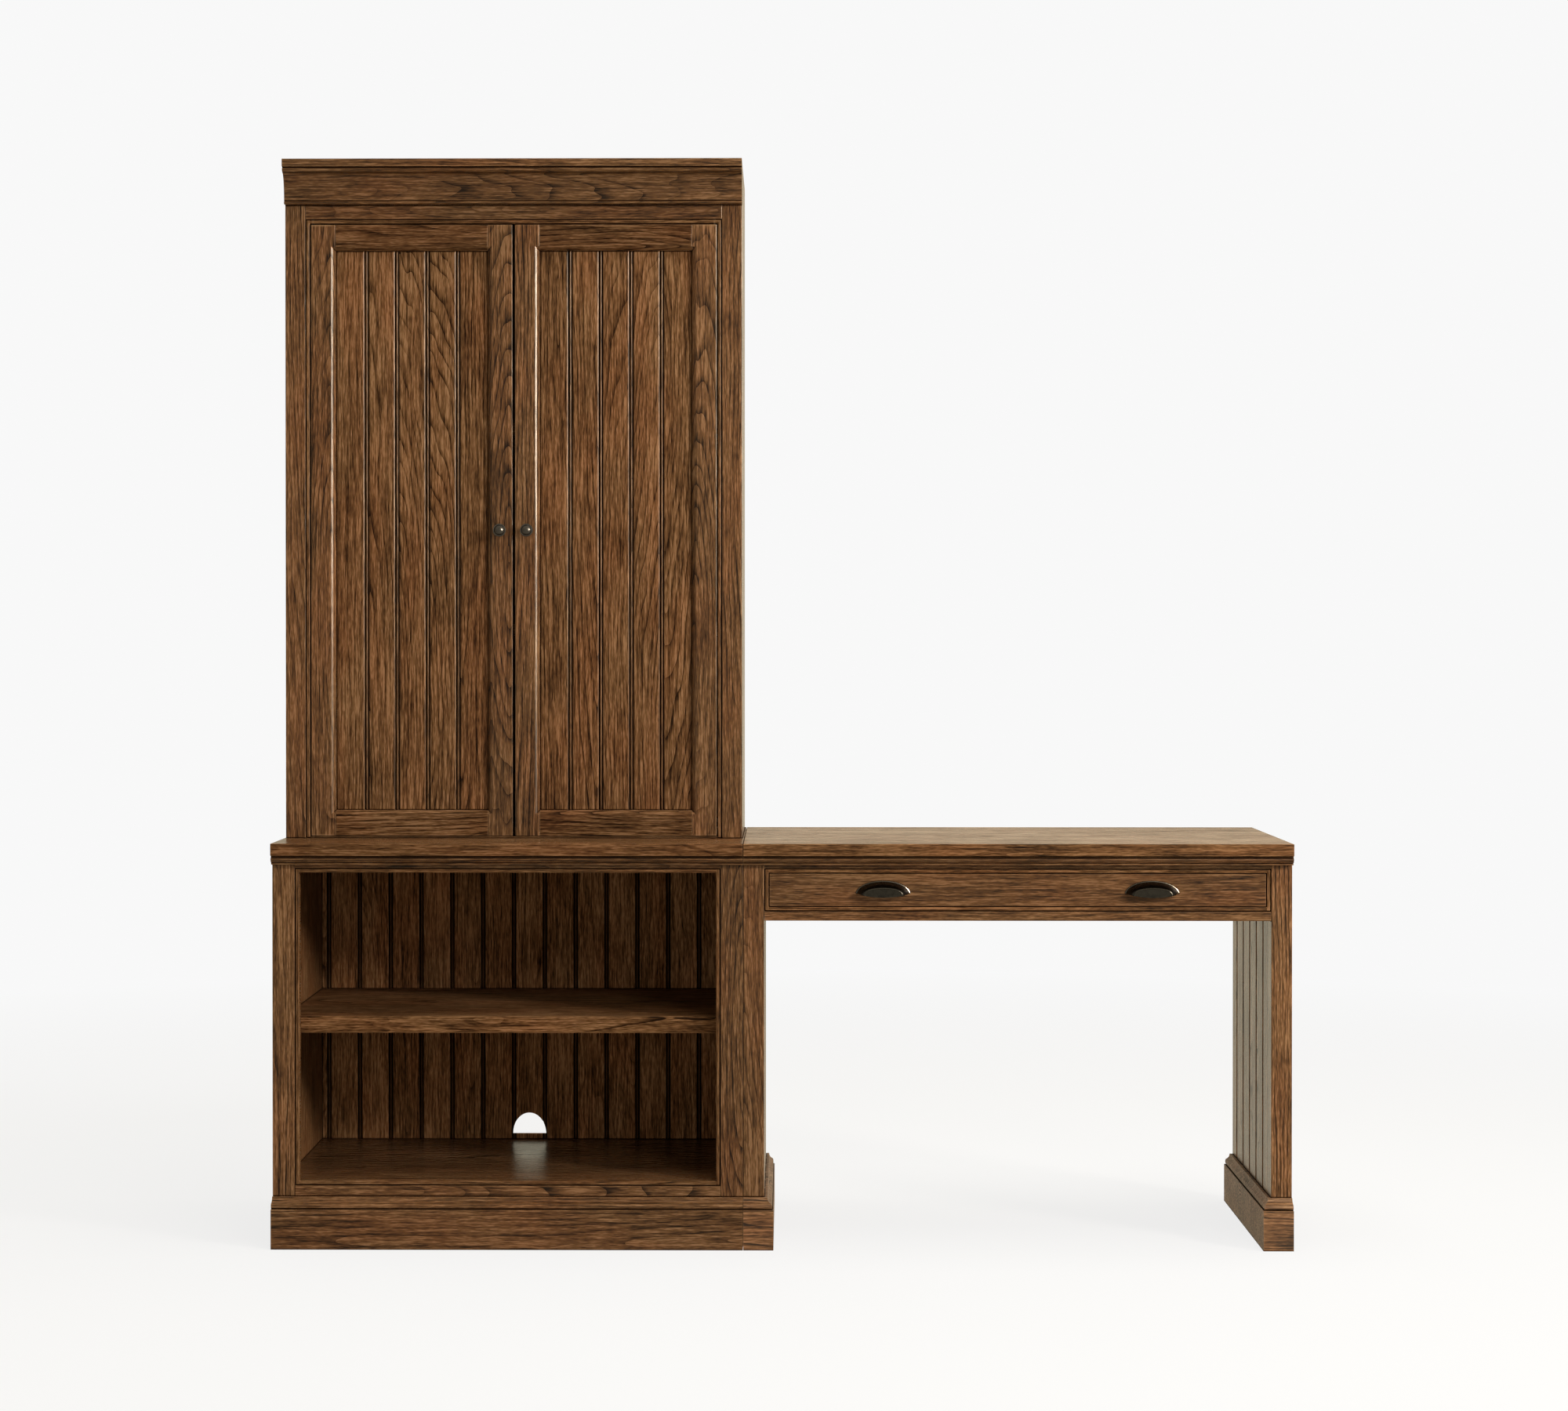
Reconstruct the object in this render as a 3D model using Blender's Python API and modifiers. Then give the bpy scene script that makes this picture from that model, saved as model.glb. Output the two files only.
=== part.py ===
"""Writing desk with a bookcase beside it: a two-door hutch on an open base, and a desk with one drawer.

Metres, +Z up, +X to the right and +Y to the back. The origin is on the floor, in the middle of the footprint.
"""
import math

import bmesh
import bpy
from mathutils import Vector

# Overall sizes
BOOKCASE_WIDTH = 0.886
DESK_WIDTH = 1.030
DEPTH = 0.533
DESK_HEIGHT = 0.762
HUTCH_HEIGHT = 1.301
HUTCH_DEPTH = 0.368
HUTCH_INSET = 0.0035
UNIT_SEAM = 0.0008

# Fits
JOINT = 0.0003
EASE = 0.001
DOOR_GAP = 0.0022
DOOR_FOOT_GAP = 0.0012
MEETING_GAP = 0.005
DRAWER_GAP = 0.0015

# Board thicknesses
TOP_THICKNESS = 0.023
SIDE_THICKNESS = 0.019
FRAME_THICKNESS = 0.020
BACK_THICKNESS = 0.009
BOTTOM_THICKNESS = 0.019
SHELF_THICKNESS = 0.032
HUTCH_SHELF_THICKNESS = 0.022

# Front frames
STILE_WIDTH = 0.042
BEAD_WIDTH = 0.0085
BEAD_ROUND = 0.0025
FRONT_OVERHANG = 0.025
MOULDING_HEIGHT = 0.017
MOULDING_TOP_PROJECTION = 0.021
MOULDING_FOOT_PROJECTION = 0.013
TOP_RAIL_SHOW = 0.0075

# Base of the bookcase
BASE_FLOOR_HEIGHT = 0.125
BASE_SHELF_HEIGHT = 0.400
BASE_SHELF_SETBACK = 0.012
BOTTOM_RAIL_HEIGHT = 0.070
HOUSING_DEPTH = 0.006

# Plinth and feet
PLINTH_FLAT = 0.075
PLINTH_MOULDING = 0.021
PLINTH_TOP_PROJECTION = 0.006
FOOT_RETURN = 0.0175

# Matched boards
PLANK_PITCH = 0.063
PLANK_BEAD = 0.0046
PLANK_ARRIS = 0.002
PLANK_ARRIS_DEPTH = 0.001
QUIRK_WIDTH = 0.0021
QUIRK_DEPTH = 0.0036
LEG_PLANK_PITCH = 0.086
LEG_FIRST_PLANK = 0.104
LEG_GROOVE_WIDTH = 0.014
LEG_GROOVE_DEPTH = 0.006

# Cable hole in the back of the base
CABLE_HOLE_WIDTH = 0.068
CABLE_HOLE_HEIGHT = 0.043
CABLE_HOLE_RISE = 0.011

# Cornice, from its top down
FASCIA_HEIGHT = 0.0145
OVOLO_HEIGHT = 0.011
COVE_HEIGHT = 0.050
ASTRAGAL_HEIGHT = 0.0075
CORNICE_PROJECTION = 0.042
COVE_FOOT_PROJECTION = 0.012
CORNICE_QUIRK = 0.0015
FRIEZE_SHOW = 0.027

# Doors
DOOR_STILE = 0.047
DOOR_RAIL = 0.0495
DOOR_CHAMFER = 0.008
DOOR_CHAMFER_DEPTH = 0.004
DOOR_SPLAY = 0.0062
DOOR_SPLAY_DEPTH = 0.007
DOOR_PANEL_THICKNESS = 0.008
DOOR_PANEL_SETBACK = 0.011
DOOR_PANEL_TONGUE = 0.008
DOOR_PLANKS = 5
DOOR_STOP_GAP = 0.001
DOOR_SILL = 0.003

# Door pivots
PIVOT_INSET = 0.004
PIVOT_PIN_DIAMETER = 0.004
PIVOT_PIN_REACH = 0.010
PIVOT_LEAF_LENGTH = 0.040
PIVOT_LEAF_WIDTH = 0.012
PIVOT_LEAF_THICKNESS = 0.0025
PIVOT_CLEARANCE = 0.0003

# Hutch shelves
SHELF_PIN_DIAMETER = 0.006
SHELF_PIN_REACH = 0.012
SHELF_PIN_INSET = 0.040
SHELF_SIDE_CLEARANCE = 0.001
HUTCH_SHELF_SETBACK = 0.018
HUTCH_LOWER_SHELF_HEIGHT = 0.390
HUTCH_UPPER_SHELF_HEIGHT = 0.780

# Desk
POST_WIDTH = 0.039
POST_DEPTH = 0.045
LOWER_RAIL_HEIGHT = 0.0175
BACK_APRON_THICKNESS = 0.019
RUNNER_WIDTH = 0.060
RUNNER_THICKNESS = 0.020

# Drawer
DRAWER_FRONT_HEIGHT = 0.061
DRAWER_FRONT_THICKNESS = 0.020
DRAWER_SIDE_THICKNESS = 0.012
DRAWER_BOTTOM_THICKNESS = 0.006
DRAWER_BOTTOM_TONGUE = 0.005
DRAWER_BOTTOM_RISE = 0.006
DRAWER_TOP_DROP = 0.008
DRAWER_SIDE_CLEARANCE = 0.012
DRAWER_LENGTH = 0.420

# Hardware
KNOB_DIAMETER = 0.025
KNOB_PROJECTION = 0.026
KNOB_STEM_DIAMETER = 0.011
KNOB_FOOT_DIAMETER = 0.017
KNOB_RIM = 0.004
PULL_WIDTH = 0.102
PULL_HEIGHT = 0.034
PULL_PROJECTION = 0.022
PULL_FACE_SHARE = 0.68
PULL_WALL = 0.0025
PULL_SPACING = 0.505

# Places that follow from the sizes above
LEFT = -(BOOKCASE_WIDTH + UNIT_SEAM + DESK_WIDTH) / 2
SEAM_LEFT = LEFT + BOOKCASE_WIDTH
DESK_LEFT = SEAM_LEFT + UNIT_SEAM
RIGHT = DESK_LEFT + DESK_WIDTH
FRONT = -DEPTH / 2
BACK = DEPTH / 2
FACE = FRONT + FRONT_OVERHANG
FRAME_BACK = FACE + FRAME_THICKNESS
TOP_UNDERSIDE = DESK_HEIGHT - TOP_THICKNESS
MOULDING_FOOT = TOP_UNDERSIDE - MOULDING_HEIGHT
RAIL_FOOT = MOULDING_FOOT - TOP_RAIL_SHOW
PLINTH_HEIGHT = PLINTH_FLAT + PLINTH_MOULDING
PANEL_FACE = BACK - BACK_THICKNESS
INNER_LEFT = LEFT + SIDE_THICKNESS
INNER_RIGHT = SEAM_LEFT - SIDE_THICKNESS
BOOKCASE_MIDDLE = (LEFT + SEAM_LEFT) / 2
OPENING_LEFT = LEFT + STILE_WIDTH
OPENING_RIGHT = SEAM_LEFT - STILE_WIDTH

HUTCH_LEFT = LEFT + HUTCH_INSET
HUTCH_RIGHT = SEAM_LEFT - HUTCH_INSET
HUTCH_INNER_LEFT = HUTCH_LEFT + SIDE_THICKNESS
HUTCH_INNER_RIGHT = HUTCH_RIGHT - SIDE_THICKNESS
HUTCH_FLOOR = DESK_HEIGHT + JOINT
HUTCH_TOP = DESK_HEIGHT + HUTCH_HEIGHT
HUTCH_FACE = BACK - HUTCH_DEPTH
HUTCH_FRAME_BACK = HUTCH_FACE + FRAME_THICKNESS
HUTCH_LID_UNDERSIDE = HUTCH_TOP - SIDE_THICKNESS
CORNICE_HEIGHT = FASCIA_HEIGHT + OVOLO_HEIGHT + COVE_HEIGHT + ASTRAGAL_HEIGHT
CORNICE_FOOT = HUTCH_TOP - CORNICE_HEIGHT
FRIEZE_FOOT = CORNICE_FOOT - FRIEZE_SHOW
DOOR_TOP = FRIEZE_FOOT - BEAD_WIDTH - DOOR_GAP
DOOR_FOOT = HUTCH_FLOOR + DOOR_SILL + DOOR_FOOT_GAP
DOOR_LEFT = OPENING_LEFT + BEAD_WIDTH + DOOR_GAP
DOOR_RIGHT = OPENING_RIGHT - BEAD_WIDTH - DOOR_GAP
DOOR_WIDTH = (DOOR_RIGHT - DOOR_LEFT - MEETING_GAP) / 2
DOOR_BACK = HUTCH_FACE + FRAME_THICKNESS
PIVOT_DEPTH = HUTCH_FACE + PIVOT_INSET
PIVOT_AXES = (DOOR_LEFT + PIVOT_INSET, DOOR_RIGHT - PIVOT_INSET)

LEG_LEFT_INNER = DESK_LEFT + POST_WIDTH
LEG_RIGHT_INNER = RIGHT - POST_WIDTH
DRAWER_TOP = RAIL_FOOT - BEAD_WIDTH - DRAWER_GAP
DRAWER_FOOT = DRAWER_TOP - DRAWER_FRONT_HEIGHT
LOWER_RAIL_TOP = DRAWER_FOOT - DRAWER_GAP - BEAD_WIDTH
LOWER_RAIL_FOOT = LOWER_RAIL_TOP - LOWER_RAIL_HEIGHT
DRAWER_LEFT = LEG_LEFT_INNER + BEAD_WIDTH + DRAWER_GAP
DRAWER_RIGHT = LEG_RIGHT_INNER - BEAD_WIDTH - DRAWER_GAP
DRAWER_MIDDLE = (DRAWER_LEFT + DRAWER_RIGHT) / 2
DRAWER_FRONT_BACK = FACE + DRAWER_FRONT_THICKNESS
DRAWER_BOX_FOOT = DRAWER_FOOT + JOINT
DRAWER_BOX_TOP = DRAWER_TOP - DRAWER_TOP_DROP
DRAWER_BOX_LEFT = DRAWER_LEFT + DRAWER_SIDE_CLEARANCE
DRAWER_BOX_RIGHT = DRAWER_RIGHT - DRAWER_SIDE_CLEARANCE
DRAWER_END = FACE + DRAWER_LENGTH
RUNNER_TOP = DRAWER_BOX_FOOT - JOINT
BACK_APRON_FACE = BACK - BACK_APRON_THICKNESS
PLANK_JOINT = PLANK_BEAD / 2 + QUIRK_WIDTH + PLANK_ARRIS

# Finishes: colour, roughness, metallic
OAK = ((0.17, 0.085, 0.038), 0.45, 0.0)
DARK_OAK = ((0.10, 0.048, 0.022), 0.55, 0.0)
DRAWER_WOOD = ((0.36, 0.25, 0.15), 0.55, 0.0)
BRONZE = ((0.035, 0.028, 0.022), 0.38, 0.9)
STEEL = ((0.35, 0.33, 0.30), 0.35, 1.0)

# Steps of the rounded shapes
EASE_STEPS = 2
ARC_STEPS = 6
BEAD_STEPS = 7
COVE_STEPS = 8
DOME_STEPS = 7
HOLE_STEPS = 20
PIN_SIDES = 12
ROUND_SIDES = 24
KNOB_SIDES = 28
CUP_SIDES = 40

WELD = 1e-6
FLAT_ANGLE = math.radians(0.5)
ALONG_X = (math.pi / 2, 0.0, math.pi / 2)
ALONG_Y = (math.pi / 2, 0.0, 0.0)
ACROSS = (0.0, math.pi / 2, 0.0)
UPRIGHT = (0.0, 0.0, 0.0)


def clear_scene():
    for old in list(bpy.data.objects):
        bpy.data.objects.remove(old)


def new_collection(name):
    made = bpy.data.collections.new(name)
    bpy.context.scene.collection.children.link(made)
    return made


def finish(thing, look):
    colour, roughness, metallic = look
    made = bpy.data.materials.new(thing.name + "_finish")
    made.use_nodes = True
    shader = made.node_tree.nodes["Principled BSDF"]
    shader.inputs["Base Color"].default_value = (*colour, 1.0)
    shader.inputs["Roughness"].default_value = roughness
    shader.inputs["Metallic"].default_value = metallic
    thing.data.materials.append(made)


def place(name, mesh, look):
    """One named piece from its mesh, or a cutter where there is no look."""
    thing = bpy.data.objects.new(name, mesh)
    if look is None:
        CUTTERS.objects.link(thing)
        thing.hide_render = True
        thing.display_type = "WIRE"
    else:
        PARTS.objects.link(thing)
        finish(thing, look)
    return thing


def board(name, low, high, look=None, ease=EASE):
    """A box between two opposite corners, with eased edges where it is a piece."""
    low, high = Vector(map(min, low, high)), Vector(map(max, low, high))
    mesh = bpy.data.meshes.new(name)
    shape = bmesh.new()
    bmesh.ops.create_cube(shape, size=1.0)
    bmesh.ops.scale(shape, vec=high - low, verts=shape.verts)
    shape.to_mesh(mesh)
    shape.free()
    thing = place(name, mesh, look)
    thing.location = (low + high) / 2
    if look is not None:
        ease_edges(thing, ease)
    return thing


def ease_edges(thing, width):
    bevel = thing.modifiers.new("eased_edges", "BEVEL")
    bevel.width = width
    bevel.segments = EASE_STEPS
    bevel.limit_method = "ANGLE"


def outline_mesh(name, loops, length):
    """A flat outline, with holes as further loops, given a length along its own Z."""
    curve = bpy.data.curves.new(name + "_outline", "CURVE")
    curve.dimensions = "2D"
    curve.fill_mode = "BOTH"
    curve.extrude = length / 2
    for loop in loops:
        spline = curve.splines.new("POLY")
        spline.points.add(len(loop) - 1)
        for point, (across, up) in zip(spline.points, loop):
            point.co = (across, up, 0.0, 1.0)
        spline.use_cyclic_u = True
    source = bpy.data.objects.new(name + "_outline", curve)
    bpy.context.scene.collection.objects.link(source)
    graph = bpy.context.evaluated_depsgraph_get()
    mesh = bpy.data.meshes.new_from_object(source.evaluated_get(graph))
    bpy.data.objects.remove(source)
    shape = bmesh.new()
    shape.from_mesh(mesh)
    bmesh.ops.remove_doubles(shape, verts=shape.verts, dist=WELD)
    bmesh.ops.dissolve_limit(shape, angle_limit=FLAT_ANGLE, verts=shape.verts, edges=shape.edges)
    bmesh.ops.recalc_face_normals(shape, faces=shape.faces)
    shape.to_mesh(mesh)
    shape.free()
    mesh.name = name
    return mesh


def moulding(name, loops, start, end, turn, look=None):
    """An outline run from start to end along the axis that the turn gives."""
    length = (Vector(end) - Vector(start)).length
    thing = place(name, outline_mesh(name, loops, length), look)
    thing.rotation_euler = turn
    thing.location = (Vector(start) + Vector(end)) / 2
    return thing


def cylinder(name, centre, diameter, length, look=None, turn=UPRIGHT, sides=ROUND_SIDES):
    mesh = bpy.data.meshes.new(name)
    shape = bmesh.new()
    bmesh.ops.create_cone(shape, cap_ends=True, segments=sides, radius1=diameter / 2,
                          radius2=diameter / 2, depth=length)
    shape.to_mesh(mesh)
    shape.free()
    thing = place(name, mesh, look)
    thing.location = centre
    thing.rotation_euler = turn
    return thing


def combine(thing, other, operation="DIFFERENCE", solver="EXACT"):
    step = thing.modifiers.new(operation.lower() + "_" + other.name, "BOOLEAN")
    step.operation = operation
    step.solver = solver
    step.object = other


def arc(middle, radii, start, end, steps=ARC_STEPS):
    """Points along part of an ellipse, with angles in degrees."""
    points = []
    for index in range(steps + 1):
        angle = math.radians(start + (end - start) * index / steps)
        points.append((middle[0] + radii[0] * math.cos(angle), middle[1] + radii[1] * math.sin(angle)))
    return points


def rectangle(left, low, right, high):
    return [(left, low), (right, low), (right, high), (left, high)]


def grown(loop, by):
    """A rectangle made larger on all four sides, or smaller where the amount is negative."""
    (left, low), (right, high) = loop[0], loop[2]
    return rectangle(left - by, low - by, right + by, high + by)


def arch(left, right, foot, top, width):
    """Two uprights and a head of one width, open at the foot."""
    inner_top = top - width
    return [(left, foot), (left + width, foot), (left + width, inner_top), (right - width, inner_top),
            (right - width, foot), (right, foot), (right, top), (left, top)]


def attach(children, parent):
    """Carry pieces on an empty, each keeping its place."""
    bpy.context.view_layer.update()
    for child in children:
        child.parent = parent
        child.matrix_parent_inverse = parent.matrix_world.inverted()


def axis_empty(name, at):
    made = bpy.data.objects.new(name, None)
    PARTS.objects.link(made)
    made.location = at
    return made


def top_moulding_profile():
    """Bead over a stepped cove under a top: depth from the face (out is negative), height from its foot."""
    step = MOULDING_HEIGHT / 4
    bead = step / 2
    crest = MOULDING_TOP_PROJECTION - bead
    points = [(0.0, 0.0), (-MOULDING_FOOT_PROJECTION, 0.0), (-MOULDING_FOOT_PROJECTION, step)]
    cove_width = crest - MOULDING_FOOT_PROJECTION
    points += [(-across, up) for across, up in
               arc((MOULDING_FOOT_PROJECTION, 2 * step), (cove_width, step), 270, 360)]
    points += [(-across, up) for across, up in arc((crest, 2.5 * step), (bead, bead), -90, 90)][1:]
    points += [(-crest + bead, 3 * step), (-crest + bead, MOULDING_HEIGHT), (0.0, MOULDING_HEIGHT)]
    return points


def plinth_profile(projection):
    """Flat foot, a step, then a cove back to the face: distance out, and height."""
    step_height = PLINTH_MOULDING / 4
    step_in = (projection - PLINTH_TOP_PROJECTION) / 5
    cove_height = PLINTH_MOULDING - 2 * step_height
    cove_width = projection - step_in - PLINTH_TOP_PROJECTION
    cove_foot = PLINTH_FLAT + 2 * step_height
    points = [(projection, 0.0), (projection, PLINTH_FLAT)]
    points += arc((projection - 2 * step_in, PLINTH_FLAT + step_height), (step_in, step_height), -90, 90)
    points += arc((projection - step_in, cove_foot + cove_height), (cove_width, cove_height), 270, 180)[1:]
    return points


def cornice_profile():
    """Astragal, tall cove, ovolo and fascia: depth from the hutch face, and height from the foot."""
    astragal = (ASTRAGAL_HEIGHT - CORNICE_QUIRK) / 2
    cove_foot = COVE_FOOT_PROJECTION + CORNICE_QUIRK
    cove_top = ASTRAGAL_HEIGHT + COVE_HEIGHT
    ovolo = OVOLO_HEIGHT / 2
    ovolo_middle = CORNICE_PROJECTION - 2 * CORNICE_QUIRK - ovolo
    points = [(0.0, 0.0)]
    points += arc((COVE_FOOT_PROJECTION, astragal), (astragal, astragal), -90, 90)
    points += [(COVE_FOOT_PROJECTION, ASTRAGAL_HEIGHT), (cove_foot, ASTRAGAL_HEIGHT)]
    cove_width = ovolo_middle - cove_foot
    points += arc((ovolo_middle, ASTRAGAL_HEIGHT), (cove_width, COVE_HEIGHT), 180, 90, COVE_STEPS)[1:]
    points += arc((ovolo_middle, cove_top + ovolo), (ovolo, ovolo - CORNICE_QUIRK / 2), -90, 90)
    top = cove_top + OVOLO_HEIGHT + FASCIA_HEIGHT
    points += [(CORNICE_PROJECTION, cove_top + OVOLO_HEIGHT), (CORNICE_PROJECTION, top), (0.0, top)]
    return [(-out, up) for out, up in points]


def plank_joints(left, right, pitch):
    """Centres of the joints of matched boards, laid out to both sides of a board in the middle of a panel."""
    pairs = round((right - left) / pitch / 2)
    first = (left + right) / 2 - pitch * (pairs - 0.5)
    joints = [first + pitch * index for index in range(2 * pairs)]
    return [joint for joint in joints if left + PLANK_JOINT < joint < right - PLANK_JOINT]


def matched_panel(name, left, right, joints, face, thickness, foot, top, look):
    """A panel of matched boards that face -Y: each joint has a round bead, two quirks and eased boards."""
    bead = PLANK_BEAD / 2
    quirk = bead + QUIRK_WIDTH
    arris = face + PLANK_ARRIS_DEPTH
    bottom = face + QUIRK_DEPTH
    loop = [(left, face)]
    for joint in joints:
        loop += [(joint - PLANK_JOINT, face), (joint - quirk, arris)]
        loop += [(joint - quirk, bottom), (joint - bead, bottom)]
        loop += arc((joint, face + bead), (bead, -bead), 180, 0, BEAD_STEPS)
        loop += [(joint + bead, bottom), (joint + quirk, bottom)]
        loop += [(joint + quirk, arris), (joint + PLANK_JOINT, face)]
    loop += [(right, face), (right, face + thickness), (left, face + thickness)]
    return moulding(name, [loop], (0.0, 0.0, foot), (0.0, 0.0, top), UPRIGHT, look)


def bead_ring(name, loops, quirk, face, look):
    """A bead round an opening, rounded where it shows and set off by a quirk, from outlines in X and Z."""
    thing = moulding(name, loops, (0.0, face, 0.0), (0.0, face + FRAME_THICKNESS, 0.0), ALONG_Y, look)
    ease_edges(thing, BEAD_ROUND)
    cutter = moulding(name + "_quirk", quirk, (0.0, face - QUIRK_DEPTH, 0.0),
                      (0.0, face + QUIRK_DEPTH, 0.0), ALONG_Y)
    combine(thing, cutter)
    return thing


def front_frame_stile(name, left, right, face, foot, top):
    return board(name, (left, face, foot), (right, face + FRAME_THICKNESS, top), OAK)


def build_base():
    """The open lower half of the bookcase."""
    side_front = FRAME_BACK + JOINT
    side_top = TOP_UNDERSIDE - JOINT
    floor_foot = BASE_FLOOR_HEIGHT - BOTTOM_THICKNESS
    housing = HOUSING_DEPTH - JOINT
    left_side = board("base_left_side", (LEFT, side_front, 0.0), (INNER_LEFT, BACK, side_top), OAK)
    right_side = board("base_right_side", (INNER_RIGHT, side_front, 0.0), (SEAM_LEFT, BACK, side_top), OAK)
    board_left = INNER_LEFT - housing
    board_right = INNER_RIGHT + housing
    board_back = PANEL_FACE - JOINT
    shelf_front = FRAME_BACK + BASE_SHELF_SETBACK
    shelf_top = BASE_SHELF_HEIGHT + SHELF_THICKNESS
    board("base_bottom_shelf", (board_left, side_front, floor_foot),
          (board_right, board_back, BASE_FLOOR_HEIGHT), OAK)
    board("base_shelf", (board_left, shelf_front, BASE_SHELF_HEIGHT),
          (board_right, board_back, shelf_top), OAK)
    for name, front, foot, top in (("floor_housing", side_front, floor_foot, BASE_FLOOR_HEIGHT),
                                   ("shelf_housing", shelf_front, BASE_SHELF_HEIGHT, shelf_top)):
        room = board(name, (INNER_LEFT - HOUSING_DEPTH, front - JOINT, foot - JOINT),
                     (INNER_RIGHT + HOUSING_DEPTH, board_back + JOINT, top + JOINT))
        combine(left_side, room)
        combine(right_side, room)
    board("base_top_board", (LEFT, FRONT, TOP_UNDERSIDE), (SEAM_LEFT, BACK, DESK_HEIGHT), OAK)
    build_base_back(side_top)

    front_frame_stile("base_left_stile", LEFT, OPENING_LEFT, FACE, 0.0, side_top)
    front_frame_stile("base_right_stile", OPENING_RIGHT, SEAM_LEFT, FACE, 0.0, side_top)
    rail_left = OPENING_LEFT + JOINT
    rail_right = OPENING_RIGHT - JOINT
    board("base_top_rail", (rail_left, FACE, RAIL_FOOT), (rail_right, FRAME_BACK, side_top), OAK)
    rail_top = BASE_FLOOR_HEIGHT - BEAD_WIDTH
    rail_foot = rail_top - BOTTOM_RAIL_HEIGHT
    board("base_bottom_rail", (rail_left, FACE, rail_foot), (rail_right, FRAME_BACK, rail_top), OAK)
    outer = rectangle(rail_left, rail_top + JOINT, rail_right, RAIL_FOOT - JOINT)
    inner = rectangle(rail_left + BEAD_WIDTH, BASE_FLOOR_HEIGHT + JOINT,
                      rail_right - BEAD_WIDTH, RAIL_FOOT - JOINT - BEAD_WIDTH)
    quirk = [grown(outer, JOINT), grown(outer, -QUIRK_WIDTH)]
    bead_ring("base_opening_bead", [outer, inner], quirk, FACE, OAK)

    profile = [(-out - JOINT, up) for out, up in plinth_profile(FRONT_OVERHANG - JOINT)]
    profile += [(-JOINT, PLINTH_HEIGHT), (-JOINT, 0.0)]
    moulding("base_plinth", [profile], (LEFT, FACE, 0.0), (SEAM_LEFT, FACE, 0.0), ALONG_X, OAK)
    top_moulding("base_top_moulding", LEFT, SEAM_LEFT)


def build_base_back(top):
    """Matched boards behind the base, with a half-round cable hole above the floor board."""
    left = INNER_LEFT + JOINT
    right = INNER_RIGHT - JOINT
    foot = BASE_FLOOR_HEIGHT - BOTTOM_THICKNESS
    panel = matched_panel("base_back_panel", left, right, plank_joints(left, right, PLANK_PITCH),
                          PANEL_FACE, BACK_THICKNESS, foot, top, DARK_OAK)
    sill = BASE_FLOOR_HEIGHT + CABLE_HOLE_RISE
    half = CABLE_HOLE_WIDTH / 2
    hole = arc((BOOKCASE_MIDDLE, sill), (half, CABLE_HOLE_HEIGHT), 0, 180, HOLE_STEPS)
    cutter = moulding("cable_hole", [hole], (0.0, PANEL_FACE - BACK_THICKNESS, 0.0),
                      (0.0, BACK + BACK_THICKNESS, 0.0), ALONG_Y)
    combine(panel, cutter, solver="MANIFOLD")


def top_moulding(name, left, right):
    profile = [(depth - JOINT, up) for depth, up in top_moulding_profile()]
    foot = MOULDING_FOOT - JOINT
    return moulding(name, [profile], (left, FACE, foot), (right, FACE, foot), ALONG_X, OAK)


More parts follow.
